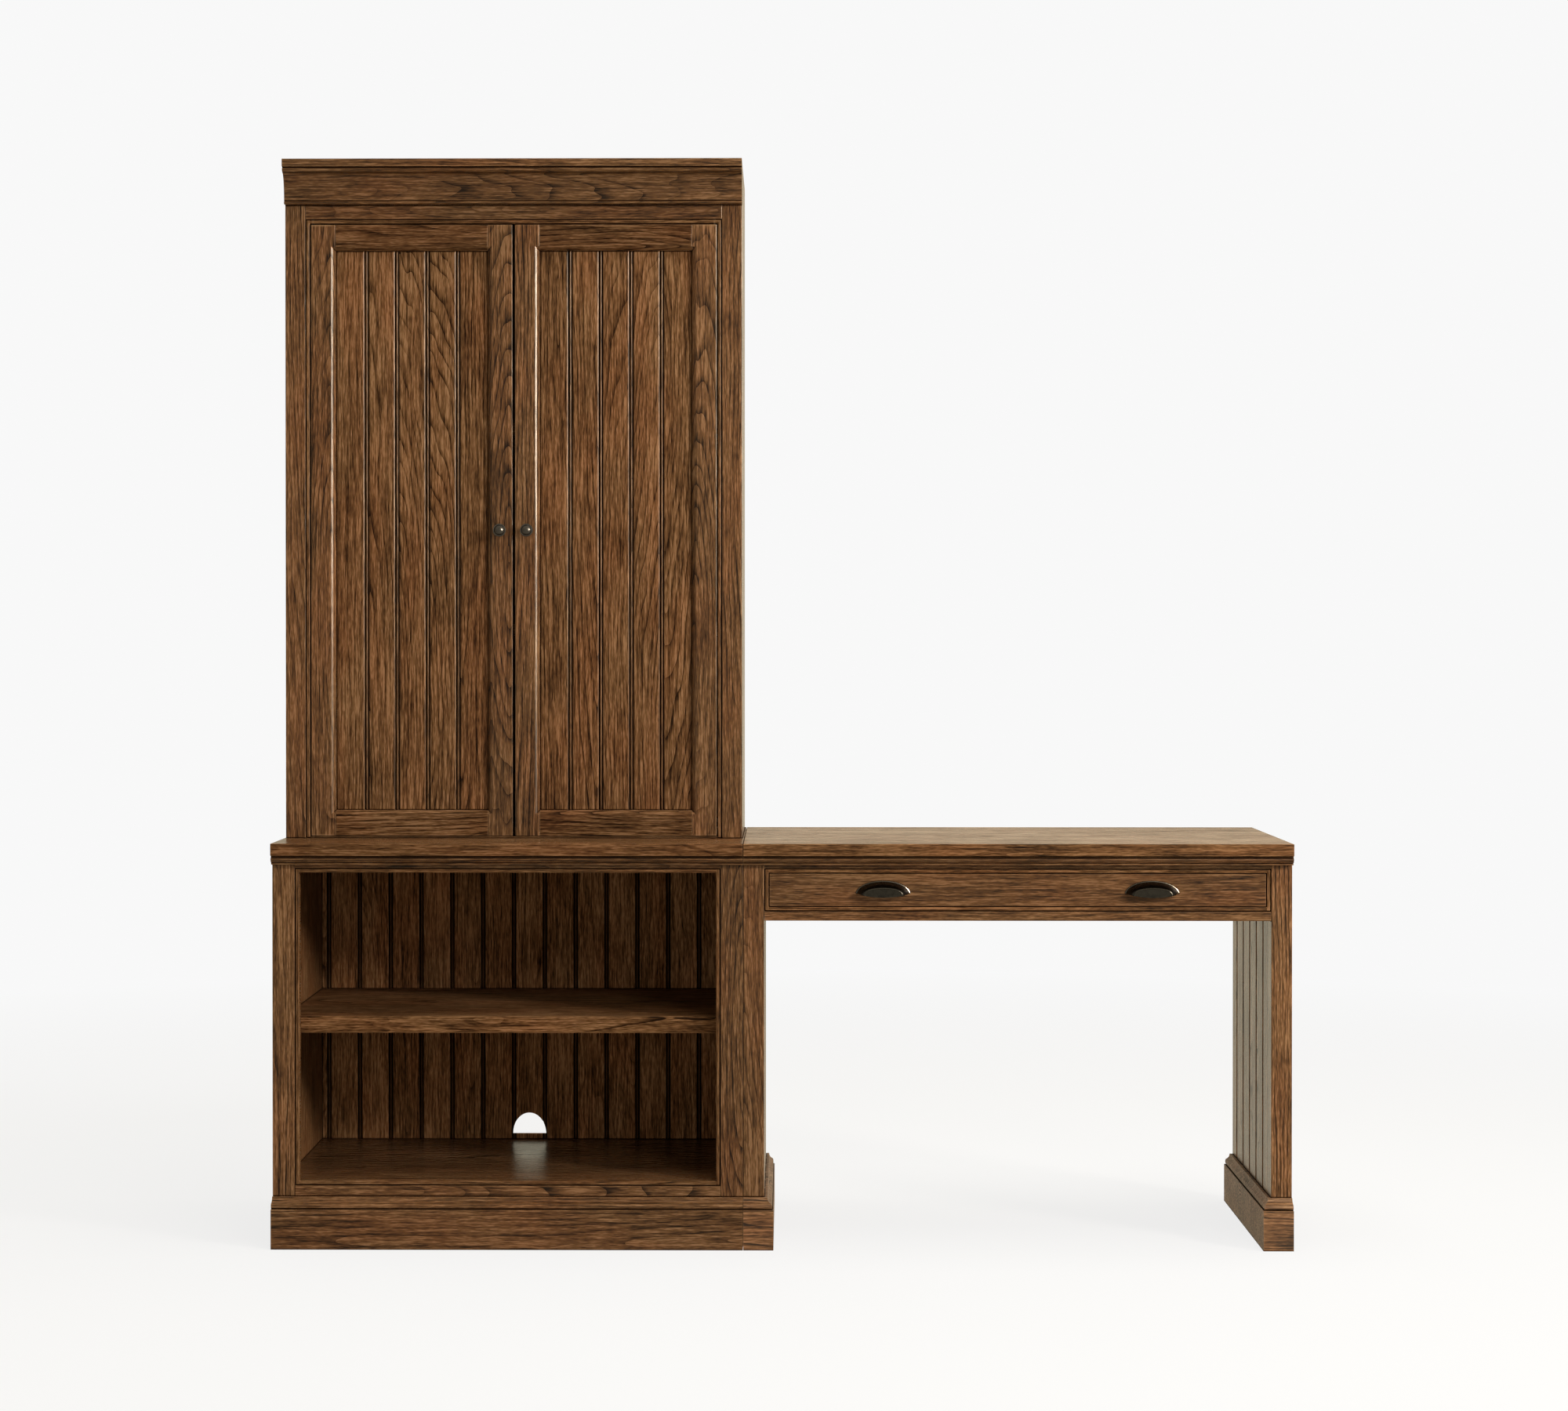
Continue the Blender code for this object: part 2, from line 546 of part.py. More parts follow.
def build_hutch():
    """The case above the base, with its front frame and cornice."""
    side_front = HUTCH_FRAME_BACK + JOINT
    side_top = HUTCH_LID_UNDERSIDE - JOINT
    left_side = board("hutch_left_side", (HUTCH_LEFT, side_front, HUTCH_FLOOR),
                      (HUTCH_INNER_LEFT, BACK, side_top), OAK)
    right_side = board("hutch_right_side", (HUTCH_INNER_RIGHT, side_front, HUTCH_FLOOR),
                       (HUTCH_RIGHT, BACK, side_top), OAK)
    board("hutch_top_board", (HUTCH_LEFT, HUTCH_FACE, HUTCH_LID_UNDERSIDE),
          (HUTCH_RIGHT, BACK, HUTCH_TOP), OAK)
    left = HUTCH_INNER_LEFT + JOINT
    right = HUTCH_INNER_RIGHT - JOINT
    board("hutch_back_panel", (left, PANEL_FACE, HUTCH_FLOOR), (right, BACK, side_top), DARK_OAK)
    front_frame_stile("hutch_left_stile", HUTCH_LEFT, OPENING_LEFT, HUTCH_FACE, HUTCH_FLOOR, side_top)
    front_frame_stile("hutch_right_stile", OPENING_RIGHT, HUTCH_RIGHT, HUTCH_FACE, HUTCH_FLOOR, side_top)
    rail_left = OPENING_LEFT + JOINT
    rail_right = OPENING_RIGHT - JOINT
    top_rail = board("hutch_top_rail", (rail_left, HUTCH_FACE, FRIEZE_FOOT),
                     (rail_right, HUTCH_FRAME_BACK, side_top), OAK)
    bead_top = FRIEZE_FOOT - JOINT
    loop = arch(rail_left, rail_right, HUTCH_FLOOR, bead_top, BEAD_WIDTH)
    quirk = arch(rail_left - JOINT, rail_right + JOINT, HUTCH_FLOOR - JOINT, bead_top + JOINT,
                 QUIRK_WIDTH + JOINT)
    bead = bead_ring("hutch_opening_bead", [loop], [quirk], HUTCH_FACE, OAK)
    profile = [(depth - JOINT, up) for depth, up in cornice_profile()]
    moulding("hutch_cornice", [profile], (HUTCH_LEFT, HUTCH_FACE, CORNICE_FOOT),
             (HUTCH_RIGHT, HUTCH_FACE, CORNICE_FOOT), ALONG_X, OAK)
    floor = build_hutch_floor(left, right)
    build_hutch_shelves(left_side, right_side)
    for side, axis in zip(("left", "right"), PIVOT_AXES):
        pin_room = PIVOT_PIN_DIAMETER + 2 * PIVOT_CLEARANCE
        lower = cylinder(side + "_lower_pivot_hole", (axis, PIVOT_DEPTH, HUTCH_FLOOR), pin_room,
                         2 * (DOOR_SILL + DOOR_FOOT_GAP))
        upper = cylinder(side + "_upper_pivot_hole", (axis, PIVOT_DEPTH, DOOR_TOP + DOOR_GAP), pin_room,
                         2 * (PIVOT_PIN_REACH + PIVOT_CLEARANCE))
        combine(floor, lower)
        combine(bead, upper)
        combine(top_rail, upper)


def build_hutch_floor(left, right):
    """The floor board, with a thin sill that runs out under the doors and carries their lower pivots."""
    front = DOOR_BACK + DOOR_STOP_GAP
    floor = board("hutch_bottom_board", (left, front, HUTCH_FLOOR),
                  (right, PANEL_FACE - JOINT, HUTCH_FLOOR + BOTTOM_THICKNESS), OAK, EASE / 2)
    sill_left = OPENING_LEFT + BEAD_WIDTH + 2 * JOINT
    sill_right = OPENING_RIGHT - BEAD_WIDTH - 2 * JOINT
    sill = board("hutch_sill", (sill_left, HUTCH_FACE + EASE, HUTCH_FLOOR),
                 (sill_right, front + BOTTOM_THICKNESS, HUTCH_FLOOR + DOOR_SILL))
    combine(floor, sill, "UNION")
    return floor


def build_hutch_shelves(left_side, right_side):
    """Two loose shelves, each on four pins that stand out of the sides."""
    front = DOOR_BACK + HUTCH_SHELF_SETBACK
    back = PANEL_FACE - SHELF_SIDE_CLEARANCE
    for name, rise in (("lower", HUTCH_LOWER_SHELF_HEIGHT), ("upper", HUTCH_UPPER_SHELF_HEIGHT)):
        foot = HUTCH_FLOOR + rise
        board("hutch_" + name + "_shelf", (HUTCH_INNER_LEFT + SHELF_SIDE_CLEARANCE, front, foot),
              (HUTCH_INNER_RIGHT - SHELF_SIDE_CLEARANCE, back, foot + HUTCH_SHELF_THICKNESS), OAK)
        height = foot - JOINT - SHELF_PIN_DIAMETER / 2
        for row, depth in (("front", front + SHELF_PIN_INSET), ("back", back - SHELF_PIN_INSET)):
            for side, wall, inward in ((left_side, HUTCH_INNER_LEFT, 1), (right_side, HUTCH_INNER_RIGHT, -1)):
                length = SHELF_PIN_REACH + SIDE_THICKNESS / 2
                centre = wall + inward * (SHELF_PIN_REACH - length / 2)
                pin = cylinder("_".join((side.name, name, row, "pin")), (centre, depth, height),
                               SHELF_PIN_DIAMETER, length, None, ACROSS, PIN_SIDES)
                combine(side, pin, "UNION")


def build_door(side, left, right, hinge_edge, inward):
    """One framed door with its panel of matched boards, its knob and its two pivots."""
    name = side + "_door"
    hinge_stile = (left, left + DOOR_STILE)
    meeting_stile = (right - DOOR_STILE, right)
    if inward < 0:
        hinge_stile, meeting_stile = meeting_stile, hinge_stile
    rail_left = left + DOOR_STILE + JOINT
    rail_right = right - DOOR_STILE - JOINT
    low = DOOR_FOOT + DOOR_RAIL
    high = DOOR_TOP - DOOR_RAIL
    members = []
    for label, span, foot, top in (("hinge_stile", hinge_stile, DOOR_FOOT, DOOR_TOP),
                                   ("meeting_stile", meeting_stile, DOOR_FOOT, DOOR_TOP),
                                   ("top_rail", (rail_left, rail_right), high, DOOR_TOP),
                                   ("bottom_rail", (rail_left, rail_right), DOOR_FOOT, low)):
        members.append(board(name + "_" + label, (span[0], HUTCH_FACE, foot), (span[1], DOOR_BACK, top), OAK))

    sight = ((left + DOOR_STILE, right - DOOR_STILE), (low, high))
    chamfer = chamfer_cutter(name + "_chamfer", *sight, DOOR_CHAMFER, DOOR_CHAMFER_DEPTH)
    splay = chamfer_cutter(name + "_splay", *sight, DOOR_SPLAY, DOOR_SPLAY_DEPTH)
    panel_face = HUTCH_FACE + DOOR_PANEL_SETBACK
    panel_back = panel_face + DOOR_PANEL_THICKNESS
    groove = board(name + "_groove",
                   (sight[0][0] - DOOR_PANEL_TONGUE, panel_face, low - DOOR_PANEL_TONGUE),
                   (sight[0][1] + DOOR_PANEL_TONGUE, panel_back, high + DOOR_PANEL_TONGUE))
    for member in members:
        combine(member, chamfer)
        combine(member, splay)
        combine(member, groove)
    tongue = DOOR_PANEL_TONGUE - JOINT
    pitch = (sight[0][1] - sight[0][0]) / DOOR_PLANKS
    joints = [sight[0][0] + pitch * index for index in range(1, DOOR_PLANKS)]
    panel = matched_panel(name + "_panel", sight[0][0] - tongue, sight[0][1] + tongue, joints,
                          panel_face + JOINT, DOOR_PANEL_THICKNESS - 2 * JOINT,
                          low - tongue, high + tongue, OAK)

    axis = hinge_edge + inward * PIVOT_INSET
    pivots = build_pivots(name, axis, inward, members[0])
    knob_x = sum(meeting_stile) / 2
    knob = build_knob(name + "_knob", (knob_x, HUTCH_FACE - JOINT, (DOOR_FOOT + DOOR_TOP) / 2))
    hinge = axis_empty(name + "_axis", (axis, PIVOT_DEPTH, DOOR_FOOT))
    attach(members + [panel, knob] + pivots, hinge)


def chamfer_cutter(name, across, up, width, depth):
    """The space inside a door frame, flared at the front so that all four members get a mitred chamfer."""
    low = (across[0], HUTCH_FACE - depth, up[0])
    high = (across[1], HUTCH_FACE + depth, up[1])
    cutter = board(name, low, high)
    flare = 2 * width
    for vertex in cutter.data.vertices:
        if vertex.co.y < 0:
            vertex.co.x += math.copysign(flare, vertex.co.x)
            vertex.co.z += math.copysign(flare, vertex.co.z)
    return cutter


def build_pivots(name, axis, inward, hinge_stile):
    """A flush leaf with a pin at the head and at the foot of the hinge stile, let into its end."""
    stile_edge = axis - inward * PIVOT_INSET
    leaf_end = stile_edge + inward * PIVOT_LEAF_LENGTH
    front = PIVOT_DEPTH - PIVOT_PIN_DIAMETER / 2 - PIVOT_CLEARANCE
    back = front + PIVOT_LEAF_WIDTH
    pivots = []
    for label, edge, outward, reach in (("upper", DOOR_TOP, 1, PIVOT_PIN_REACH),
                                        ("lower", DOOR_FOOT, -1, DOOR_FOOT_GAP + DOOR_SILL)):
        inner_face = edge - outward * PIVOT_LEAF_THICKNESS
        leaf = board(name + "_" + label + "_pivot", (stile_edge + inward * JOINT, front, inner_face),
                     (leaf_end, back, edge), STEEL, EASE / 4)
        pin_length = PIVOT_LEAF_THICKNESS / 2 + reach
        pin_middle = edge + outward * (reach - pin_length / 2)
        pin = cylinder(leaf.name + "_pin", (axis, PIVOT_DEPTH, pin_middle), PIVOT_PIN_DIAMETER, pin_length)
        combine(leaf, pin, "UNION")
        room = board(leaf.name + "_room",
                     (stile_edge - inward * PIVOT_INSET, front - JOINT, inner_face - outward * JOINT),
                     (leaf_end + inward * JOINT, back + JOINT, edge + outward * PIVOT_LEAF_THICKNESS))
        combine(hinge_stile, room)
        pivots.append(leaf)
    return pivots


def build_knob(name, at):
    """A turned knob: a flared foot, a waist, a rim and a low dome, spun about its own Z."""
    rim = KNOB_DIAMETER / 2
    stem = KNOB_STEM_DIAMETER / 2
    foot = KNOB_FOOT_DIAMETER / 2
    rim_top = KNOB_PROJECTION - KNOB_RIM
    rim_foot = rim_top - KNOB_RIM
    dome = rim - KNOB_RIM / 4
    profile = arc((0.0, rim_top), (dome, KNOB_RIM), 90, 0, DOME_STEPS)
    profile += arc((rim - KNOB_RIM / 2, rim_top - KNOB_RIM / 2), (KNOB_RIM / 2, KNOB_RIM / 2), 90, -90)
    profile += [(stem, rim_foot - KNOB_RIM), (stem, KNOB_RIM), (foot, KNOB_RIM / 2), (foot, 0.0), (0.0, 0.0)]
    mesh = bpy.data.meshes.new(name)
    vertices = [(across, 0.0, up) for across, up in profile]
    mesh.from_pydata(vertices, [(index, index + 1) for index in range(len(vertices) - 1)], [])
    knob = place(name, mesh, BRONZE)
    spin = knob.modifiers.new("turned", "SCREW")
    spin.steps = KNOB_SIDES
    spin.render_steps = KNOB_SIDES
    spin.use_merge_vertices = True
    spin.merge_threshold = WELD
    spin.use_smooth_shade = True
    knob.location = at
    knob.rotation_euler = ALONG_Y
    return knob


def build_desk():
    """The desk beside the bookcase: top, two panelled legs on moulded feet, rails and drawer runners."""
    leg_top = TOP_UNDERSIDE - JOINT
    board("desk_top", (DESK_LEFT, FRONT, TOP_UNDERSIDE), (RIGHT, BACK, DESK_HEIGHT), OAK)
    rail_left = LEG_LEFT_INNER + JOINT
    rail_right = LEG_RIGHT_INNER - JOINT
    moulded = top_moulding("desk_top_moulding", DESK_LEFT, RIGHT)
    rail = board("desk_top_rail", (rail_left, FACE, RAIL_FOOT), (rail_right, FRAME_BACK, leg_top))
    tongue_front = FACE - MOULDING_FOOT_PROJECTION / 2
    tongue = board("desk_moulding_tongue", (rail_left, tongue_front, MOULDING_FOOT + EASE),
                   (rail_right, FACE + FRAME_THICKNESS / 2, leg_top - EASE))
    combine(moulded, tongue, "UNION")
    combine(moulded, rail, "UNION")
    posts = {"left": (DESK_LEFT, LEG_LEFT_INNER, 1), "right": (LEG_RIGHT_INNER, RIGHT, -1)}
    for side, (left, right, inward) in posts.items():
        board("desk_" + side + "_front_post", (left, FACE, 0.0), (right, FACE + POST_DEPTH, leg_top), OAK)
        build_leg_panel("desk_" + side + "_leg_panel", left, right, inward, leg_top)
        build_foot("desk_" + side + "_plinth", left, right, inward)
    board("desk_lower_rail", (rail_left, FACE, LOWER_RAIL_FOOT),
          (rail_right, FRAME_BACK, LOWER_RAIL_TOP), OAK)
    board("desk_back_apron", (rail_left, BACK_APRON_FACE, LOWER_RAIL_FOOT), (rail_right, BACK, leg_top), OAK)
    outer = rectangle(rail_left, LOWER_RAIL_TOP + JOINT, rail_right, RAIL_FOOT - JOINT)
    inner = rectangle(rail_left + BEAD_WIDTH, LOWER_RAIL_TOP + JOINT + BEAD_WIDTH,
                      rail_right - BEAD_WIDTH, RAIL_FOOT - JOINT - BEAD_WIDTH)
    quirk = [grown(outer, JOINT), grown(outer, -QUIRK_WIDTH)]
    bead_ring("drawer_opening_bead", [outer, inner], quirk, FACE, OAK)
    build_runners(rail_left, rail_right)


def build_leg_panel(name, left, right, inward, top):
    """A thick panel of upright boards behind a post, grooved on the side of the knee space."""
    start = FACE + POST_DEPTH + JOINT
    inner = right if inward > 0 else left
    outer = left if inward > 0 else right
    count = int((BACK - FACE - LEG_FIRST_PLANK) / LEG_PLANK_PITCH) + 1
    cuts = [FACE + LEG_FIRST_PLANK + LEG_PLANK_PITCH * index for index in range(count)]
    cuts = [cut for cut in cuts if start + LEG_GROOVE_WIDTH < cut < BACK - LEG_GROOVE_WIDTH]
    loop = [(outer, start), (inner, start)]
    for cut in cuts:
        loop += [(inner, cut - LEG_GROOVE_WIDTH / 2), (inner - inward * LEG_GROOVE_DEPTH, cut),
                 (inner, cut + LEG_GROOVE_WIDTH / 2)]
    loop += [(inner, BACK), (outer, BACK)]
    return moulding(name, [loop], (0.0, 0.0, 0.0), (0.0, 0.0, top), UPRIGHT, OAK)


def build_foot(name, left, right, inward):
    """A moulded foot that wraps the front and the inner side of a leg, mitred at its corner."""
    inner = right if inward > 0 else left
    outer = left if inward > 0 else right
    front_loop = [(-out - JOINT, up) for out, up in plinth_profile(FRONT_OVERHANG - JOINT)]
    front_loop += [(BACK - FACE, PLINTH_HEIGHT), (BACK - FACE, 0.0)]
    span = (outer, inner + inward * FOOT_RETURN)
    foot = moulding(name, [front_loop], (min(span), FACE, 0.0), (max(span), FACE, 0.0), ALONG_X, OAK)
    side_loop = [(inner + inward * (out + JOINT), up) for out, up in plinth_profile(FOOT_RETURN - JOINT)]
    side_loop += [(outer - inward * FOOT_RETURN, PLINTH_HEIGHT), (outer - inward * FOOT_RETURN, 0.0)]
    side = moulding(name + "_return", [side_loop], (0.0, FRONT - DEPTH, 0.0),
                    (0.0, BACK + DEPTH, 0.0), ALONG_Y)
    leg = board(name + "_leg_room", (outer - inward * FOOT_RETURN, FACE - JOINT, -PLINTH_HEIGHT),
                (inner + inward * JOINT, BACK + FOOT_RETURN, 2 * PLINTH_HEIGHT))
    combine(foot, side, "INTERSECT")
    combine(foot, leg)


def build_runners(left, right):
    """The frame that carries the drawer: a runner on each side, joined by a cross rail at the back."""
    front = FRAME_BACK + JOINT
    back = BACK_APRON_FACE - JOINT
    runner_left = left + RUNNER_WIDTH
    runner_right = right - RUNNER_WIDTH
    loop = [(left, front), (runner_left, front), (runner_left, back - RUNNER_WIDTH),
            (runner_right, back - RUNNER_WIDTH), (runner_right, front), (right, front), (right, back),
            (left, back)]
    moulding("drawer_runner_frame", [loop], (0.0, 0.0, RUNNER_TOP - RUNNER_THICKNESS), (0.0, 0.0, RUNNER_TOP),
             UPRIGHT, DRAWER_WOOD)


def build_drawer():
    """The drawer: a slab front, a box grooved for its bottom, and two cup pulls."""
    front = board("drawer_front", (DRAWER_LEFT, FACE, DRAWER_FOOT),
                  (DRAWER_RIGHT, DRAWER_FRONT_BACK, DRAWER_TOP), OAK)
    start = DRAWER_FRONT_BACK + JOINT
    inner_left = DRAWER_BOX_LEFT + DRAWER_SIDE_THICKNESS
    inner_right = DRAWER_BOX_RIGHT - DRAWER_SIDE_THICKNESS
    back_start = DRAWER_END - DRAWER_SIDE_THICKNESS
    left_side = board("drawer_left_side", (DRAWER_BOX_LEFT, start, DRAWER_BOX_FOOT),
                      (inner_left, DRAWER_END, DRAWER_BOX_TOP), DRAWER_WOOD)
    right_side = board("drawer_right_side", (inner_right, start, DRAWER_BOX_FOOT),
                       (DRAWER_BOX_RIGHT, DRAWER_END, DRAWER_BOX_TOP), DRAWER_WOOD)
    bottom_foot = DRAWER_BOX_FOOT + DRAWER_BOTTOM_RISE
    bottom_top = bottom_foot + DRAWER_BOTTOM_THICKNESS
    back = board("drawer_back", (inner_left + JOINT, back_start, bottom_top + JOINT),
                 (inner_right - JOINT, DRAWER_END, DRAWER_BOX_TOP), DRAWER_WOOD)
    tongue = DRAWER_BOTTOM_TONGUE - JOINT
    bottom = board("drawer_bottom", (inner_left - tongue, DRAWER_FRONT_BACK - tongue, bottom_foot),
                   (inner_right + tongue, DRAWER_END, bottom_top), DRAWER_WOOD)
    groove_front = DRAWER_FRONT_BACK - DRAWER_BOTTOM_TONGUE
    groove_back = DRAWER_END + DRAWER_BOTTOM_TONGUE
    groove = board("drawer_bottom_groove",
                   (inner_left - DRAWER_BOTTOM_TONGUE, groove_front, bottom_foot - JOINT),
                   (inner_right + DRAWER_BOTTOM_TONGUE, groove_back, bottom_top + JOINT))
    for piece in (front, left_side, right_side):
        combine(piece, groove)
    pulls = []
    for side, offset in (("left", -PULL_SPACING / 2), ("right", PULL_SPACING / 2)):
        height = (DRAWER_FOOT + DRAWER_TOP) / 2 - PULL_HEIGHT / 2
        pulls.append(build_cup_pull(side + "_cup_pull", (DRAWER_MIDDLE + offset, FACE - JOINT, height)))
    slide = axis_empty("drawer_slide", (DRAWER_MIDDLE, FACE, DRAWER_FOOT))
    attach([front, left_side, right_side, back, bottom] + pulls, slide)


def half_cup(name, width, height, depth, foot, look=None):
    """Half of an oval cup, standing out along its own Z, with its flat open side at the foot."""
    mesh = bpy.data.meshes.new(name)
    shape = bmesh.new()
    bmesh.ops.create_cone(shape, cap_ends=True, segments=CUP_SIDES, radius1=1.0,
                          radius2=PULL_FACE_SHARE, depth=1.0)
    bmesh.ops.scale(shape, vec=(width / 2, height, depth), verts=shape.verts)
    bmesh.ops.translate(shape, vec=(0.0, 0.0, depth / 2), verts=shape.verts)
    everything = shape.verts[:] + shape.edges[:] + shape.faces[:]
    cut = bmesh.ops.bisect_plane(shape, geom=everything, dist=WELD, plane_co=(0.0, foot, 0.0),
                                 plane_no=(0.0, -1.0, 0.0), clear_outer=True)
    edges = [item for item in cut["geom_cut"] if isinstance(item, bmesh.types.BMEdge)]
    bmesh.ops.edgeloop_fill(shape, edges=edges)
    bmesh.ops.recalc_face_normals(shape, faces=shape.faces)
    shape.to_mesh(mesh)
    shape.free()
    return place(name, mesh, look)


def build_cup_pull(name, at):
    """A half-oval cup pull, hollow and open below."""
    pull = half_cup(name, PULL_WIDTH, PULL_HEIGHT, PULL_PROJECTION, 0.0, BRONZE)
    hollow = half_cup(name + "_hollow", PULL_WIDTH - 4 * PULL_WALL, PULL_HEIGHT - 2 * PULL_WALL,
                      PULL_PROJECTION - PULL_WALL, -PULL_WALL)
    for piece in (pull, hollow):
        piece.rotation_euler = ALONG_Y
        piece.location = at
    hollow.location.y += PULL_WALL / 2
    combine(pull, hollow)
    return pull


clear_scene()
PARTS = new_collection("writing_desk_with_bookcase")
CUTTERS = new_collection("cutters")
build_base()
build_hutch()
build_door("left", DOOR_LEFT, DOOR_LEFT + DOOR_WIDTH, DOOR_LEFT, 1)
build_door("right", DOOR_RIGHT - DOOR_WIDTH, DOOR_RIGHT, DOOR_RIGHT, -1)
build_desk()
build_drawer()
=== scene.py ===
"""Looks of the writing desk with bookcase: stained oak, dark bronze hardware, pale floor, soft studio light."""
import itertools
import math

import bmesh
import bpy
from mathutils import Matrix, Vector


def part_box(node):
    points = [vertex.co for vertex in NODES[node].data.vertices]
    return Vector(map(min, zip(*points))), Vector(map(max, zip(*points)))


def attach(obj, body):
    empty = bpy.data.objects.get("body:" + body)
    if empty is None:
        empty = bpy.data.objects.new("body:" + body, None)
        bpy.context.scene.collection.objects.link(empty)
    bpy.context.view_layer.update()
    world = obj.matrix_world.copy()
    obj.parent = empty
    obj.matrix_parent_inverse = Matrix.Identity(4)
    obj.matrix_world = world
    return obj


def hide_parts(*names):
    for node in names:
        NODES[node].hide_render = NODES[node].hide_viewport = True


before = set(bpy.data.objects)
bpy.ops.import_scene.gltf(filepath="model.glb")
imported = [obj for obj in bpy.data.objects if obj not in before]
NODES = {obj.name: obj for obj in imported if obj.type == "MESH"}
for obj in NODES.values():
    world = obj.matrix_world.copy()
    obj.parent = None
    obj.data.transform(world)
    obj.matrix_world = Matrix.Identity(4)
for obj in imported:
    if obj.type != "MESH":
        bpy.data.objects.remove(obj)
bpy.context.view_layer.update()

SIDES = ("left", "right")
X, Y = 0, 1

# Camera, fitted to the edges that the photo shows: metres, degrees, and millimetres for the lens
CAMERA_PLACE = (0.012, -6.118, 1.141)
CAMERA_YAW = 0.528
CAMERA_PITCH = -0.479
LENS = 71.84
SENSOR = 36.0
SHIFT = (0.0159, -0.0242)

# Background: its strength to the eye, and the light it gives in front of and behind the object
WHITE = (1.0, 1.0, 1.0)
BACKGROUND = 0.94
FRONT_GLOW = 0.07
BACK_GLOW = 0.73
GLOW_TURN = (-0.45, 0.35)
GLOW_TINT = (1.0, 0.93, 0.70)

# Floor: its own glow, what it catches of the lamps and bounces back, and where it fades into the background
FLOOR_GLOW = 0.80
FLOOR_CATCH = (0.12, 0.12, 0.12)
FLOOR_BOUNCE = (0.34, 0.315, 0.27)
FLOOR_SIZE = 60.0
FLOOR_DROP = 0.0005
FLOOR_FADE = (2.2, 5.0)
FLOOR_LIT = (0.0, 0.5)
FLOOR_MIDDLE = (0.0, -0.3, 0.0)
# Where the bookcase stands and the floor doesn't glow: middle and half width along X, then along Y
UNDER_BASE = ((-0.495, 0.455), (0.010, 0.235))

# Lamps: place, where it points, width and height, power, colour
LAMPS = {"key": ((2.4, -5.5, 3.6), (-0.1, -0.1, 0.9), (1.8, 1.8), 80.0, (1.0, 0.94, 0.85)),
         "side": ((4.6, -3.5, 2.6), (-0.2, -0.1, 1.0), (0.9, 0.9), 244.0, (1.0, 0.94, 0.85)),
         "strip": ((3.8, -4.2, 2.5), (-0.3, -0.1, 1.4), (0.8, 2.6), 1000.0, (1.0, 0.88, 0.69)),
         "top": ((0.6, -0.5, 4.3), (0.6, -0.1, 0.0), (2.4, 2.4), 130.0, (1.0, 0.96, 0.90)),
         "front": ((-0.3, -6.4, 1.0), (-0.4, 0.0, 0.9), (1.6, 1.6), 28.0, (1.0, 0.92, 0.80)),
         "fill": ((-4.5, -2.8, 1.4), (-0.3, 0.0, 0.9), (2.0, 2.0), 14.0, (1.0, 0.96, 0.90))}
GLOSS_ONLY = ("strip",)
NO_GLOSS = ("top", "front", "fill")

# Stained oak, from the darkest glaze to the lightest fibre
OAK_STOPS = ((0.00, (0.0102, 0.0044, 0.0015)),
             (0.25, (0.0428, 0.0194, 0.0071)),
             (0.52, (0.1070, 0.0508, 0.0205)),
             (0.78, (0.1755, 0.0879, 0.0376)),
             (1.00, (0.2805, 0.1530, 0.0741)))
OAK_PORES = 0.40
# Dark glaze with painted shade for hollows, seams and plank joints; pale wear with painted highlight for arrises,
# weaker on the door panels
OAK_GLAZE_AND_SHADE = (0.013, 0.0050, 0.0018)
OAK_WORN_AND_HIGHLIGHT = (0.330, 0.190, 0.095)
PANEL_WORN_AND_HIGHLIGHT = (0.170, 0.090, 0.040)
REDDER = (1.05, 0.94, 0.90)
# Unstained wood of the drawer's box
PALE_STOPS = ((0.00, (0.150, 0.085, 0.042)),
              (0.30, (0.300, 0.195, 0.105)),
              (0.60, (0.390, 0.268, 0.155)),
              (1.00, (0.480, 0.350, 0.220)))
PALE_PORES = 0.22
# Its dark glaze with painted shade, and its pale wear with painted highlight on arrises
PALE_GLAZE_AND_SHADE = (0.10, 0.055, 0.028)
PALE_WORN_AND_HIGHLIGHT = (0.50, 0.37, 0.24)

# Noises: scale along X, Y and Z for places in metres, detail, roughness. In the grain, Z runs along the board
NOISES = {"sway": ((16.0, 16.0, 2.6), 2.0, 0.5),
          "plain": ((10.0, 10.0, 2.5), 1.0, 0.5),
          "fibre": ((320.0, 320.0, 15.0), 3.0, 0.60),
          "streak": ((95.0, 95.0, 2.2), 2.0, 0.5),
          "dash": ((400.0, 400.0, 16.0), 1.0, 0.5),
          "cloud": ((10.0, 10.0, 4.0), 3.0, 0.55),
          "fine": ((620.0, 620.0, 70.0), 1.0, 0.5),
          "patch": ((14.0, 14.0, 4.0), 2.0, 0.5),
          "edge_mark": ((35.0, 35.0, 35.0), 3.0, 0.5),
          "patina": ((140.0, 140.0, 140.0), 4.0, 0.6),
          "grit": ((1400.0, 1400.0, 1400.0), 2.0, 0.5),
          "drawn": ((60.0, 2600.0, 2600.0), 2.0, 0.5)}
NOISE_MIDDLE = 0.5

# Growth rings: how far boards lie apart in the noise, where the tree's heart lies, and the rings per metre
SEED_REACH = 40.0
SWAY_REACH = (0.030, 0.030, 0.0)
HEART_LEAN = 0.14
HEART_ASIDE = 0.050
HEART_BEHIND = (0.012, 0.060)
UNEVEN_SCALE = 60.0
UNEVEN_REACH = 0.008
RINGS = 135.0
RING_DARK = 0.5
RING_POWER = 2.2
PLAIN_RANGE = (0.38, 0.58, 0.35, 1.0)

